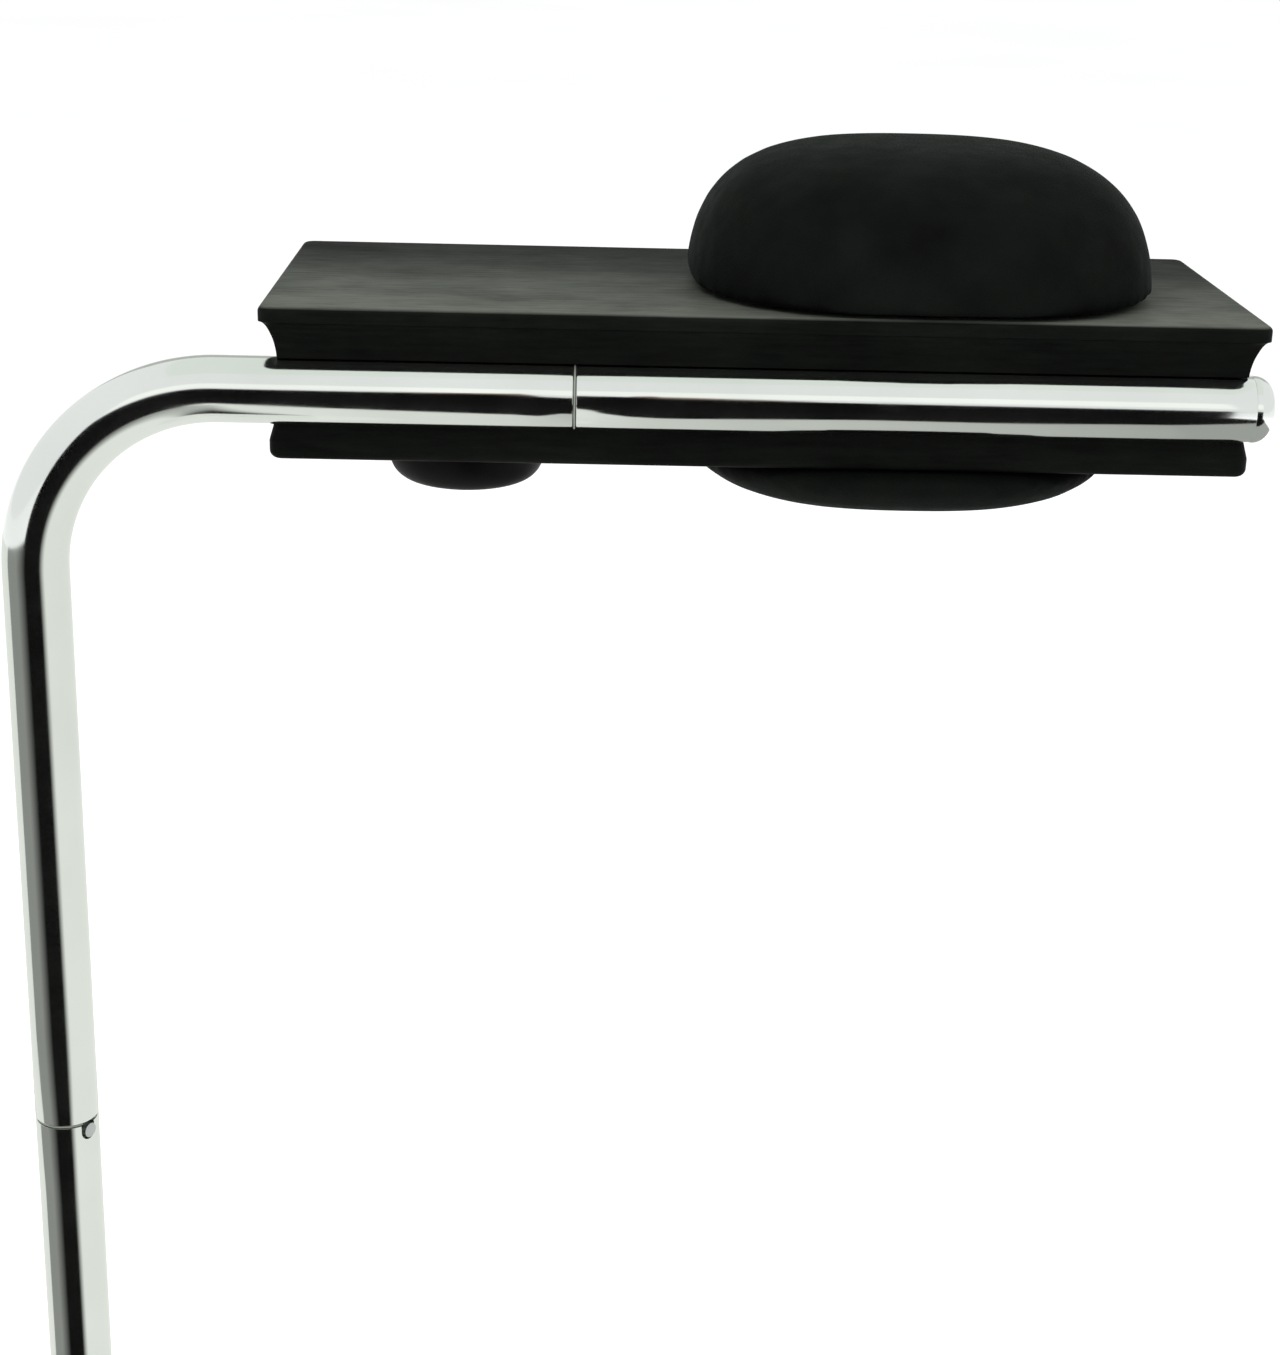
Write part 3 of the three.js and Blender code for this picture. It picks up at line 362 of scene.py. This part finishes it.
def circle(centre, across, up, radius, sides):
    if radius < 1e-6:
        return [centre]
    return [
        centre + (across * math.cos(t) + up * math.sin(t)) * radius
        for t in (2 * math.pi * k / sides for k in range(sides))]


def quarter_turn(steps, place):
    return [place(math.pi / 2 * i / steps) for i in range(steps + 1)]


def turned(name, profile, at, node, direction=(0, 0, 1), sides=96, sharp_angle=35, loop=None):
    """A lathe piece. profile is (radius, height along direction) from at; it closes on itself or the axis."""
    forward = Vector(direction).normalized()
    across = forward.orthogonal().normalized()
    up = forward.cross(across)
    rings = [circle(Vector(at) + forward * h, across, up, r, sides) for r, h in profile]
    closes = profile[0][0] > 1e-6 if loop is None else loop
    return piece(name, *skin(rings, closes), node, sharp_angle)


def apply_modifier(obj, modifier):
    with bpy.context.temp_override(object=obj, active_object=obj):
        bpy.ops.object.modifier_apply(modifier=modifier.name)


def cut_away(obj, *cutters):
    """Takes the cutters' volume out of obj; the cutters are used up."""
    for cutter in cutters:
        modifier = obj.modifiers.new("cut", "BOOLEAN")
        modifier.operation = "DIFFERENCE"
        modifier.solver = "EXACT"
        modifier.object = cutter
        apply_modifier(obj, modifier)
        bpy.data.objects.remove(cutter)


def cutter_from(vertices, faces):
    mesh = bpy.data.meshes.new("cutter")
    mesh.from_pydata([tuple(v) for v in vertices], [], faces)
    face_outward(mesh)
    obj = bpy.data.objects.new("cutter", mesh)
    bpy.context.scene.collection.objects.link(obj)
    return obj


def round_cutter(at, direction, radius, length, sides=64):
    forward = Vector(direction).normalized()
    across = forward.orthogonal().normalized()
    up = forward.cross(across)
    ends = [Vector(at), Vector(at) + forward * length]
    return cutter_from(*skin([circle(end, across, up, radius, sides) for end in ends]))


def box_cutter(low, high):
    corners = [
        Vector((x, y, z))
        for z in (low[2], high[2]) for y in (low[1], high[1]) for x in (low[0], high[0])]
    rings = [[corners[i] for i in (0, 1, 3, 2)], [corners[i] for i in (4, 5, 7, 6)]]
    return cutter_from(*skin(rings))


# Chrome tubes -----------------------------------------------------------------------------------
def tube_rings(stations, far_rim=0.35 * MM, rim=0.35 * MM, sides=128):
    """Rings of a thin-walled tube: out along the outside, back along the bore, with eased rims.
    stations are (centre, forward) along the tube; every tube here lies in the XZ plane."""
    sideways = Vector((0, 1, 0))

    def ring(station, radius, shift):
        centre, forward = station
        return circle(centre + forward * shift, sideways, forward.cross(sideways), radius, sides)

    first, last = stations[0], stations[-1]
    rings = [
        ring(first, TUBE_R - rim, 0), ring(first, TUBE_R - 0.3 * rim, 0.3 * rim),
        ring(first, TUBE_R, rim)]
    rings += [ring(s, TUBE_R, 0) for s in stations[1:-1]]
    rings += [ring(last, TUBE_R, -far_rim), ring(last, TUBE_R - 0.3 * far_rim, -0.3 * far_rim),
              ring(last, TUBE_R - far_rim, 0)]
    rings += [ring(s, BORE_R, 0) for s in reversed(stations)]
    return rings


def straight(start, end, steps=8):
    forward = (Vector(end) - Vector(start)).normalized()
    return [(Vector(start).lerp(Vector(end), i / steps), forward) for i in range(steps + 1)]


def elbow_line(bend_steps=64):
    centre = Vector((BEND_R, 0, AXIS_Z - BEND_R))
    upright = straight((0, 0, ELBOW_LOW.z), (0, 0, AXIS_Z - BEND_R), 6)
    level = straight((BEND_R, 0, AXIS_Z), (ELBOW_HIGH.x, 0, AXIS_Z), 6)
    bend = []
    for i in range(1, bend_steps):
        a = math.pi / 2 * i / bend_steps
        place = centre + Vector((-math.cos(a), 0, math.sin(a))) * BEND_R
        bend.append((place, Vector((math.sin(a), 0, math.cos(a)))))
    return upright + bend + level


def key_notch_cutter():
    """A slot with a round bottom through the post's rim, where the key pin drops in."""
    pin_low, pin_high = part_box("key_pin")
    reach = Vector((pin_high.x, pin_low.y, 0))
    outward = reach.normalized()
    sideways = Vector((0, 0, 1)).cross(outward)
    radius = (pin_high.z - pin_low.z) / 2 + GAP
    middle = (pin_low.z + pin_high.z) / 2
    outline = [(-radius, 9 * MM), (radius, 9 * MM)]
    outline += [(radius * math.cos(t), radius * math.sin(t)) for t in (-math.pi * k / 16 for k in range(17))]
    rings = [
        [outward * depth + sideways * u + Vector((0, 0, middle + v)) for u, v in outline]
        for depth in (0, 14 * MM)]
    return cutter_from(*skin(rings))


def build_tubes():
    upright = straight((0, 0, POST_LOW.z), (0, 0, POST_HIGH.z))
    post = piece("chrome_post", *skin(tube_rings(upright), True), "post_tube")
    cut_away(post, key_notch_cutter())
    shade(post.data, 35)
    piece("chrome_elbow", *skin(tube_rings(elbow_line()), True), "elbow_tube")
    # The rail's end and its cap meet in a hairline.
    rail = straight((RAIL_LOW.x, 0, AXIS_Z), (RAIL_HIGH.x + 0.9 * GAP, 0, AXIS_Z))
    piece("chrome_rail", *skin(tube_rings(rail, far_rim=0.02 * MM), True), "rail_tube")

    round_r = 7 * MM
    length = CAP_HIGH.x - CAP_LOW.x
    seam = length - (CAP_HIGH.x - RAIL_HIGH.x - GAP)
    plug_r = BORE_R - GAP
    profile = [(0, 0), (plug_r, 0), (plug_r, seam), (TUBE_R - 0.02 * MM, seam), (TUBE_R, seam + 0.02 * MM)]
    profile += quarter_turn(14, lambda a: (
        TUBE_R - round_r * (1 - math.cos(a)), length - 0.6 * MM - round_r * (1 - math.sin(a))))
    profile += [(3 * MM, length - 0.2 * MM), (0, length)]
    turned("chrome_end_cap", profile, (CAP_LOW.x, 0, AXIS_Z), "rail_end_cap", (1, 0, 0), 128)


# Board ------------------------------------------------------------------------------------------
def rounded_rectangle(x0, x1, y0, y1, radius, z, steps=8):
    corners = [(x1 - radius, y0 + radius, -90), (x1 - radius, y1 - radius, 0),
               (x0 + radius, y1 - radius, 90), (x0 + radius, y0 + radius, 180)]
    points = []
    for cx, cy, start in corners:
        for i in range(steps + 1):
            a = math.radians(start + 90 * i / steps)
            points.append(Vector((cx + radius * math.cos(a), cy + radius * math.sin(a), z)))
    return points


def moulded_block(name, side, low, high, node):
    """A block whose side profile, as (depth in from the lip, height), runs all round its outline."""
    rings = []
    for depth, z in side:
        radius = max(CORNER_R - depth, 0.8 * MM)
        rings.append(rounded_rectangle(
            low.x + depth, high.x - depth, low.y + depth, high.y - depth, radius, z))
    return piece(name, *skin(rings), node, 40)


def hollow_side(cove, depth):
    """The hollow between a lip and the parting plane, with its edge at the lip eased."""
    start, end, power = cove

    def place(a):
        sharp = (depth + COVE_EASE) * math.sin(a) ** (2 / power)
        eased = min(math.hypot(sharp, COVE_EASE) - COVE_EASE, depth)
        return eased, end + (start - end) * max(math.cos(a), 0.0) ** (2 / power)

    return quarter_turn(24, place)


def upper_side(top):
    r = LIP_ROUND
    depth = COVE_DEPTH + OVERHANG
    steps = [(r + 0.4 * MM, top)]
    steps += quarter_turn(8, lambda a: (r * (1 - math.sin(a)), top - r * (1 - math.cos(a))))
    return steps + hollow_side(UPPER_COVE, depth) + [(depth, UPPER_LOW.z)]


def lower_side(bottom):
    r = LOWER_ROUND
    steps = [(r + 0.4 * MM, bottom)]
    steps += quarter_turn(8, lambda a: (r * (1 - math.sin(a)), bottom + r * (1 - math.cos(a))))
    return steps + hollow_side(LOWER_COVE, COVE_DEPTH) + [(COVE_DEPTH, LOWER_HIGH.z)]


def cavity_cutter(z0, z1):
    inset = COVE_DEPTH + SHELL_WALL
    return box_cutter(
        (LOWER_LOW.x + inset, GROOVE_R + SHELL_WALL, z0), (LOWER_HIGH.x - inset, LOWER_HIGH.y - inset, z1))


def groove_cutter():
    start = (UPPER_LOW.x - 10 * MM, 0, AXIS_Z)
    return round_cutter(start, (1, 0, 0), GROOVE_R, UPPER_HIGH.x - UPPER_LOW.x + 20 * MM, 128)


def bracket_cutters():
    cutters = []
    for side in ("left", "right"):
        low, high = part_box("rail_bracket_" + side)
        margin = Vector((0.6, 0.6, 0.6)) * MM
        far_corner = (high.x + 0.6 * MM, GROOVE_R + SHELL_WALL + 1 * MM, high.z + 1 * MM)
        cutters.append(box_cutter(low - margin, far_corner))
    return cutters


def build_board():
    top = UPPER_HIGH.z
    upper = moulded_block("board_upper_half", upper_side(top), UPPER_LOW, UPPER_HIGH, "board_upper_shell")
    spindle = (SPINDLE_LOW + SPINDLE_HIGH) / 2
    bush_low, bush_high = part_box("spindle_bush_upper")
    bush_hole = (bush_high.x - bush_low.x) / 2 + GAP
    cut_away(
        upper, groove_cutter(), cavity_cutter(UPPER_LOW.z - 1 * MM, top - SHELL_WALL),
        box_cutter((JAW_LOW.x - 1 * MM, JAW_LOW.y - 0.8 * MM, UPPER_LOW.z - 1 * MM),
                   (JAW_HIGH.x + 1 * MM, GROOVE_R + SHELL_WALL + 1 * MM, JAW_HIGH.z + 5 * MM)),
        *bracket_cutters(),
        round_cutter((spindle.x, spindle.y, top - 8 * MM), (0, 0, 1), bush_hole, 12 * MM))
    shade(upper.data, 40)

    bottom = LOWER_LOW.z
    lower = moulded_block("board_lower_half", lower_side(bottom), LOWER_LOW, LOWER_HIGH, "board_lower_shell")
    stud_low, stud_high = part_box("knob_stud")
    stud = (stud_low + stud_high) / 2
    screw_holes = []
    for i in range(6):
        low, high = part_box(f"shell_screw_{i + 1}")
        middle = (low + high) / 2
        at = (middle.x, middle.y, bottom - 2 * MM)
        screw_holes.append(round_cutter(at, (0, 0, 1), 4.2 * MM, 9 * MM, 48))
    cut_away(
        lower, groove_cutter(), cavity_cutter(bottom + SHELL_WALL, LOWER_HIGH.z + 1 * MM),
        box_cutter((SADDLE_LOW.x - 0.6 * MM, SADDLE_LOW.y - 0.6 * MM, SADDLE_LOW.z - 0.6 * MM),
                   (SADDLE_HIGH.x + 0.6 * MM, GROOVE_R + SHELL_WALL + 1 * MM, LOWER_HIGH.z + 1 * MM)),
        *bracket_cutters(), *screw_holes,
        round_cutter((stud.x, stud.y, bottom - 2 * MM), (0, 0, 1), 4.8 * MM, 8 * MM),
        round_cutter((spindle.x, spindle.y, bottom - 2 * MM), (0, 0, 1), bush_hole, 8 * MM))
    shade(lower.data, 40)


# Head pad ---------------------------------------------------------------------------------------
SPINDLE_AXIS = (SPINDLE_LOW + SPINDLE_HIGH) / 2
SPINDLE_HOLLOW_UP = 7 * MM  # room for the spindle's flange above the upper base
SPINDLE_HOLLOW_DOWN = 11.3 * MM  # and for its flange and nut below the lower base
TUCK = 3.5 * MM  # radius of the cover's rounded edge
VOXEL = 4.5 * MM
HELD_BAND = 5 * MM  # how much of the cover above its edge stays put
PRESSURE = 4
CLOTH_FRAMES = 20
MOST_SWELL = 2.4 * MM


def pad_outline(centre_x, width, depth, z, sides=160):
    """The pebble's outline from above, at a height."""
    points = []
    for k in range(sides):
        t = 2 * math.pi * k / sides
        c, s = math.cos(t), math.sin(t)
        reach = (abs(c) ** PLAN_POWER + abs(s) ** PLAN_POWER) ** (-1 / PLAN_POWER)
        points.append(Vector((centre_x + c * reach * width, SPINDLE_AXIS.y + s * reach * depth, z)))
    return points


def pebble_rings(shape, side, face_z, tuck, wider=0.0, taller=0.0):
    """Rings of half the pebble, from the tucked edge beside the board up to its crown."""
    shift, half_height, power = shape
    centre_x = SPINDLE_AXIS.x + shift
    half_height += taller

    def ring(height, less):
        level = (1 - min(abs(height) / half_height, 1.0) ** power) ** (1 / power)
        width, depth = (half * level - less + wider for half in PAD_HALF)
        return pad_outline(centre_x, width, depth, PAD_Z + side * height)

    face = abs(face_z - PAD_Z)
    rings = [ring(face + tuck * (1 - math.cos(a)), tuck * (1 - math.sin(a)))
             for a in (math.pi / 2 * i / 8 for i in range(8))]
    start = math.asin((face + tuck) / half_height)
    steps = 48
    for i in range(steps):
        a = start + (math.pi / 2 - start) * i / steps
        rings.append(ring(half_height * math.sin(a), 0.0))
    rings.append([Vector((centre_x, SPINDLE_AXIS.y, PAD_Z + side * half_height))])
    return rings


def stuff(obj, face_z, cap):
    """Cloth under pressure, held where it meets its base. The crown rises by less than a millimetre."""
    remesh = obj.modifiers.new("remesh", "REMESH")
    remesh.mode = "VOXEL"
    remesh.voxel_size = VOXEL
    apply_modifier(obj, remesh)
    start = [v.co.copy() for v in obj.data.vertices]
    held = obj.vertex_groups.new(name="held")
    held.add([v.index for v in obj.data.vertices if abs(v.co.z - face_z) < HELD_BAND], 1.0, "REPLACE")
    cloth = obj.modifiers.new("cloth", "CLOTH")
    cloth.settings.use_pressure = True
    cloth.settings.uniform_pressure_force = PRESSURE
    cloth.settings.effector_weights.gravity = 0
    cloth.settings.vertex_group_mass = "held"
    scene = bpy.context.scene
    for number in range(1, CLOTH_FRAMES + 1):
        scene.frame_set(number)
    apply_modifier(obj, cloth)
    scene.frame_set(1)
    obj.vertex_groups.clear()
    for vertex, before in zip(obj.data.vertices, start):
        moved = vertex.co - before
        if moved.length > cap:
            vertex.co = before + moved * (cap / moved.length)
    smooth = obj.modifiers.new("smooth", "SUBSURF")
    smooth.levels = 1
    apply_modifier(obj, smooth)


def build_cushion(name, side, node, face_z, shape, wider, taller):
    """Half of the pebble, with its cover tucked under a rounded edge beside the board.

    Remeshing and subdivision draw the cover in. wider and taller make up for it.
    """
    allowance = ((wider, taller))
    obj = piece(name, *skin(pebble_rings(shape, side, face_z, TUCK, *allowance)), node, 50)
    stuff(obj, face_z, MOST_SWELL)
    base_low, base_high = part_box(node.replace("cushion", "base"))
    width, depth = ((base_high.x - base_low.x) / 2 + GAP, (base_high.y - base_low.y) / 2 + GAP)
    far = (base_high.z if side > 0 else base_low.z) + side * GAP
    pocket = [pad_outline(SPINDLE_AXIS.x, width, depth, z, 96) for z in (face_z - side * 6 * MM, far)]
    hollow_end = far + side * (SPINDLE_HOLLOW_UP if side > 0 else SPINDLE_HOLLOW_DOWN)
    start_z = face_z - side * 6 * MM
    hollow = round_cutter(
        (SPINDLE_AXIS.x, SPINDLE_AXIS.y, start_z), (0, 0, side), 26 * MM, abs(hollow_end - start_z))
    cut_away(obj, cutter_from(*skin(pocket)), hollow)
    shade(obj.data, 50)
    return obj


# Knob and small turned pieces ---------------------------------------------------------------------
def build_knob():
    centre = ((KNOB_LOW.x + KNOB_HIGH.x) / 2, (KNOB_LOW.y + KNOB_HIGH.y) / 2, KNOB_HIGH.z)
    radius = (KNOB_HIGH.x - KNOB_LOW.x) / 2
    depth = KNOB_HIGH.z - KNOB_LOW.z
    edge = 2 * MM
    dome_from = 3.4 * MM
    profile = [(12 * MM, 0), (radius - edge, 0)]
    profile += quarter_turn(6, lambda a: (
        radius - edge + edge * math.sin(a), 1.8 * MM * (1 - math.cos(a))))[1:]
    profile += quarter_turn(30, lambda a: (
        radius * math.cos(a) ** 0.38, dome_from + (depth - dome_from) * math.sin(a)))[:-1]
    insert_r = 7.3 * MM
    profile += [
        (0, depth), (0, depth - 6 * MM), (insert_r, depth - 6 * MM), (insert_r, 0.6 * MM),
        (12 * MM, 0.6 * MM)]
    turned("knob_dome", profile, centre, "clamp_knob", (0, 0, -1), 128, 40)


def build_turned_trim():
    turned("foot_plug", [
        (0, 0), (TUBE_R - 0.8 * MM, 0), (TUBE_R - 0.23 * MM, 0.23 * MM), (TUBE_R, 0.8 * MM), (TUBE_R, 3 * MM),
        (BORE_R - GAP, 3 * MM), (BORE_R - GAP, 25 * MM), (8 * MM, 25 * MM), (8 * MM, 5 * MM), (0, 5 * MM)],
        (0, 0, 0), "post_foot_plug")


def build_screws():
    """Button-head screws with a plain round socket, in the underside of the board."""
    for i in range(6):
        node = f"shell_screw_{i + 1}"
        low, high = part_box(node)
        middle = (low + high) / 2
        socket = 1.5 * MM
        head, shank = 3.8 * MM, 2 * MM
        length = high.z - low.z
        profile = [
            (0, 1.4 * MM), (socket, 1.4 * MM), (socket, 0), (head - 0.9 * MM, 0),
            (head - 0.25 * MM, 0.3 * MM), (head, 0.9 * MM), (head, 2.4 * MM), (shank, 2.4 * MM),
            (shank, length - 0.5 * MM), (shank - 0.5 * MM, length), (0, length)]
        turned(f"button_screw_{i + 1}", profile, (middle.x, middle.y, low.z), node, sides=48)


# Stage, lights and camera -----------------------------------------------------------------------
def stage_card(name, corners, material, only_reflections=True):
    mesh = bpy.data.meshes.new(name)
    mesh.from_pydata([tuple(c) for c in corners], [], [list(range(len(corners)))])
    mesh.materials.append(material)
    obj = bpy.data.objects.new(name, mesh)
    if only_reflections:
        as_reflection(obj)
    else:
        bpy.context.scene.collection.objects.link(obj)


def as_reflection(obj):
    """Seen only in the chrome."""
    bpy.context.scene.collection.objects.link(obj)
    obj.visible_camera = False
    obj.visible_diffuse = False
    obj.visible_shadow = False


def card_material(name, colour, glow=0.0):
    """An even, unpolished card. glow is its own light, for cards that must not depend on the lamps."""
    look = Look(name, roughness=0.9, Specular_IOR_Level=0.0)
    shade_of = [c * (1 - glow) for c in colour] if glow < 1 else (0.0, 0.0, 0.0)
    look.colour(look.noise(0.8, detail=2), (0.3, shade_of), (0.7, [min(1.0, c * 1.04) for c in shade_of]))
    look.shader.inputs["Emission Color"].default_value = (*colour, 1)
    look.shader.inputs["Emission Strength"].default_value = glow
    return look.material


def glowing(name, *colour):
    return card_material(name, colour, 1.0)


def graded(name, kind, stops):
    """A faintly green card with its own light, whose grey changes across it by (place, brightness)."""
    tint = (0.97, 1.0, 0.94)
    look = Look(name, roughness=0.9, Specular_IOR_Level=0.0)
    gradient = look.nodes.new("ShaderNodeTexGradient")
    gradient.gradient_type = kind
    look.links.new(look.place, gradient.inputs["Vector"])
    shades = look.ramp(gradient.outputs["Fac"], *[
        (place, [share * bright for share in tint]) for place, bright in sorted(stops)])
    look.links.new(shades, look.shader.inputs["Emission Color"])
    look.shader.inputs["Emission Strength"].default_value = 1.0
    look.shader.inputs["Base Color"].default_value = (0, 0, 0, 1)
    return look.material


def build_post_screen():
    """A round screen about the post: a black stripe in front, grey to its left and white to its right.
    Places are degrees from straight ahead round towards +X."""
    stripe = 22  # half the black stripe's width
    soft = 16  # width of its soft edges
    black, grey, white = 0.004, 0.30, 0.90
    stops = [(-170, white), (-stripe - 2 * soft, grey), (-stripe, black), (stripe, black),
             (stripe + soft, white), (170, white)]
    round_stops = [((azimuth + 90) % 360 / 360, bright) for azimuth, bright in stops]
    radius, height, sides = 0.10, 0.465, 72
    across, up = Vector((1, 0, 0)), Vector((0, 1, 0))
    rings = [circle(Vector((0, 0, z)), across, up, radius, sides) for z in (0.0, height)]
    faces = [(k, (k + 1) % sides, sides + (k + 1) % sides, sides + k) for k in range(sides)]
    mesh = bpy.data.meshes.new("post_screen")
    mesh.from_pydata([tuple(v) for ring in rings for v in ring], [], faces)
    mesh.materials.append(graded("post_screen", "RADIAL", round_stops))
    as_reflection(bpy.data.objects.new("post_screen", mesh))


def build_stage():
    """A white floor, and the dark and grey cards that the chrome reflects."""
    white = card_material("floor_white", (0.94, 0.94, 0.94))
    white_shader = white.node_tree.nodes["Principled BSDF"]
    white_shader.inputs["Emission Color"].default_value = (1, 1, 1, 1)
    white_shader.inputs["Emission Strength"].default_value = 0.14
    far = 14.0
    stage_card("floor", [(-far, -far, 0), (far, -far, 0), (far, far, 0), (-far, far, 0)], white, False)

    black = glowing("flag_black", 0.004, 0.004, 0.004)
    brown = glowing("card_brown", 0.20, 0.135, 0.10)
    ceiling = glowing("card_ceiling", 0.82, 0.87, 0.82)
    hazy = glowing("card_haze", 0.50, 0.52, 0.48)
    bright = glowing("card_bright", 1.08, 1.10, 1.06)

    # In front: the black stripe along the level tube, with a brown edge above its middle.
    away = -1.5
    near_edge = [(-0.9, -1.05), (-0.25, -0.90), (-0.06, -0.70), (0.03, -0.50), (0.15, -0.34), (0.26, -0.28),
                 (0.38, -0.42), (0.47, -0.38), (0.57, -0.48), (1.35, -0.75)]
    floor_flag = [(x, y, 0.004) for x, y in near_edge] + [(1.35, away, 0.004), (-0.9, away, 0.004)]
    stage_card("floor_flag", floor_flag, black)
    top_edge = [
        (1.35, 0.64), (0.8, 0.665), (0.5, 0.715), (0.34, 0.74), (0.22, 0.80), (-0.05, 0.86), (-0.9, 0.88)]
    front_flag = [(-0.9, away, 0), (1.35, away, 0)] + [(x, away, z) for x, z in top_edge]
    stage_card("front_flag", front_flag, black)
    behind = away - 0.02
    front_card = [(0.02, 0.7), (0.42, 0.7), (0.42, 0.80), (0.2, 0.98), (0.02, 0.92)]
    stage_card("front_card", [(x, behind, z) for x, z in front_card], brown)
    front_glow = [(-1.4, -2.4, 1.25), (2.0, -2.4, 1.05), (2.0, -2.4, 1.9), (-1.4, -2.4, 1.9)]
    stage_card("front_glow", front_glow, bright)
    # Overhead and behind: pale grey-green on the top of the level tube.
    overhead = [(-0.8, -0.9, 2.4), (1.6, -0.9, 2.4), (1.6, 2.2, 2.4), (-0.8, 2.2, 2.4)]
    stage_card("ceiling_card", overhead, ceiling)
    stage_card("rear_card", [(-1.2, 2.3, 1.0), (2.2, 2.3, 1.0), (2.2, 2.3, 2.2), (-1.2, 2.3, 2.2)], hazy)
    # Below: painted shade of the floor under the board, seen only in the chrome; it fades evenly from pale
    # under the elbow to grey under the tip.
    below = graded("card_below", "LINEAR", [(0.0, 0.90), (0.6, 0.40)])
    under = [(-0.8, -1.4, 0.002), (1.3, -1.4, 0.002), (1.3, 0.7, 0.002), (-0.8, 0.7, 0.002)]
    stage_card("under_card", under, below)
    build_post_screen()


def soft_light(name, at, towards, size, power, colour=(1, 1, 1)):
    light = bpy.data.lights.new(name, "AREA")
    light.shape = "RECTANGLE"
    light.size, light.size_y = size
    light.energy = power
    light.color = colour
    obj = bpy.data.objects.new(name, light)
    obj.location = at
    obj.rotation_euler = (Vector(towards) - Vector(at)).to_track_quat("-Z", "Y").to_euler()
    obj.visible_glossy = False
    bpy.context.scene.collection.objects.link(obj)


def build_lights():
    world = bpy.data.worlds.new("studio")
    world.use_nodes = True
    background = world.node_tree.nodes["Background"]
    background.inputs["Color"].default_value = (0.97, 0.985, 0.975, 1)
    background.inputs["Strength"].default_value = 0.92
    bpy.context.scene.world = world
    middle = (0.25, 0.05, 0.5)
    soft_light("key", (-0.6, -0.9, 2.2), middle, (1.4, 1.0), 26)
    soft_light("fill", (1.7, 0.4, 1.6), middle, (1.2, 1.2), 14)


def build_camera():
    """Looks down at the board from the front, a little to the left of the middle."""
    yaw, pitch, roll = (math.radians(a) for a in (1.42, 18.91, 1.46))
    forward = Vector((math.sin(yaw) * math.cos(pitch), math.cos(yaw) * math.cos(pitch), -math.sin(pitch)))
    level_right = Vector((math.cos(yaw), -math.sin(yaw), 0))
    level_up = level_right.cross(forward)
    right = level_right * math.cos(roll) + level_up * math.sin(roll)
    up = level_up * math.cos(roll) - level_right * math.sin(roll)
    data = bpy.data.cameras.new("camera")
    data.sensor_width = 36
    data.lens = 65.35
    data.clip_end = 60
    camera = bpy.data.objects.new("camera", data)
    turn = Matrix((right, up, -forward)).transposed()
    camera.matrix_world = Matrix.Translation((0.2056, -0.8895, AXIS_Z + 0.1958)) @ turn.to_4x4()
    bpy.context.scene.collection.objects.link(camera)
    bpy.context.scene.camera = camera


def set_view():
    settings = bpy.context.scene.view_settings
    settings.view_transform = "Standard"
    settings.look = "None"


paint_cad_nodes()
build_camera()
set_view()
build_stage()
build_lights()
build_tubes()
build_board()
build_cushion("upper_cushion", 1, "upper_pad_cushion", UPPER_PAD_LOW.z, UPPER_PEBBLE, 0.2 * MM, 0.0)
build_cushion("lower_cushion", -1, "lower_pad_cushion", LOWER_PAD_HIGH.z, LOWER_PEBBLE, 0.9 * MM, 0.3 * MM)
build_knob()
build_turned_trim()
build_screws()
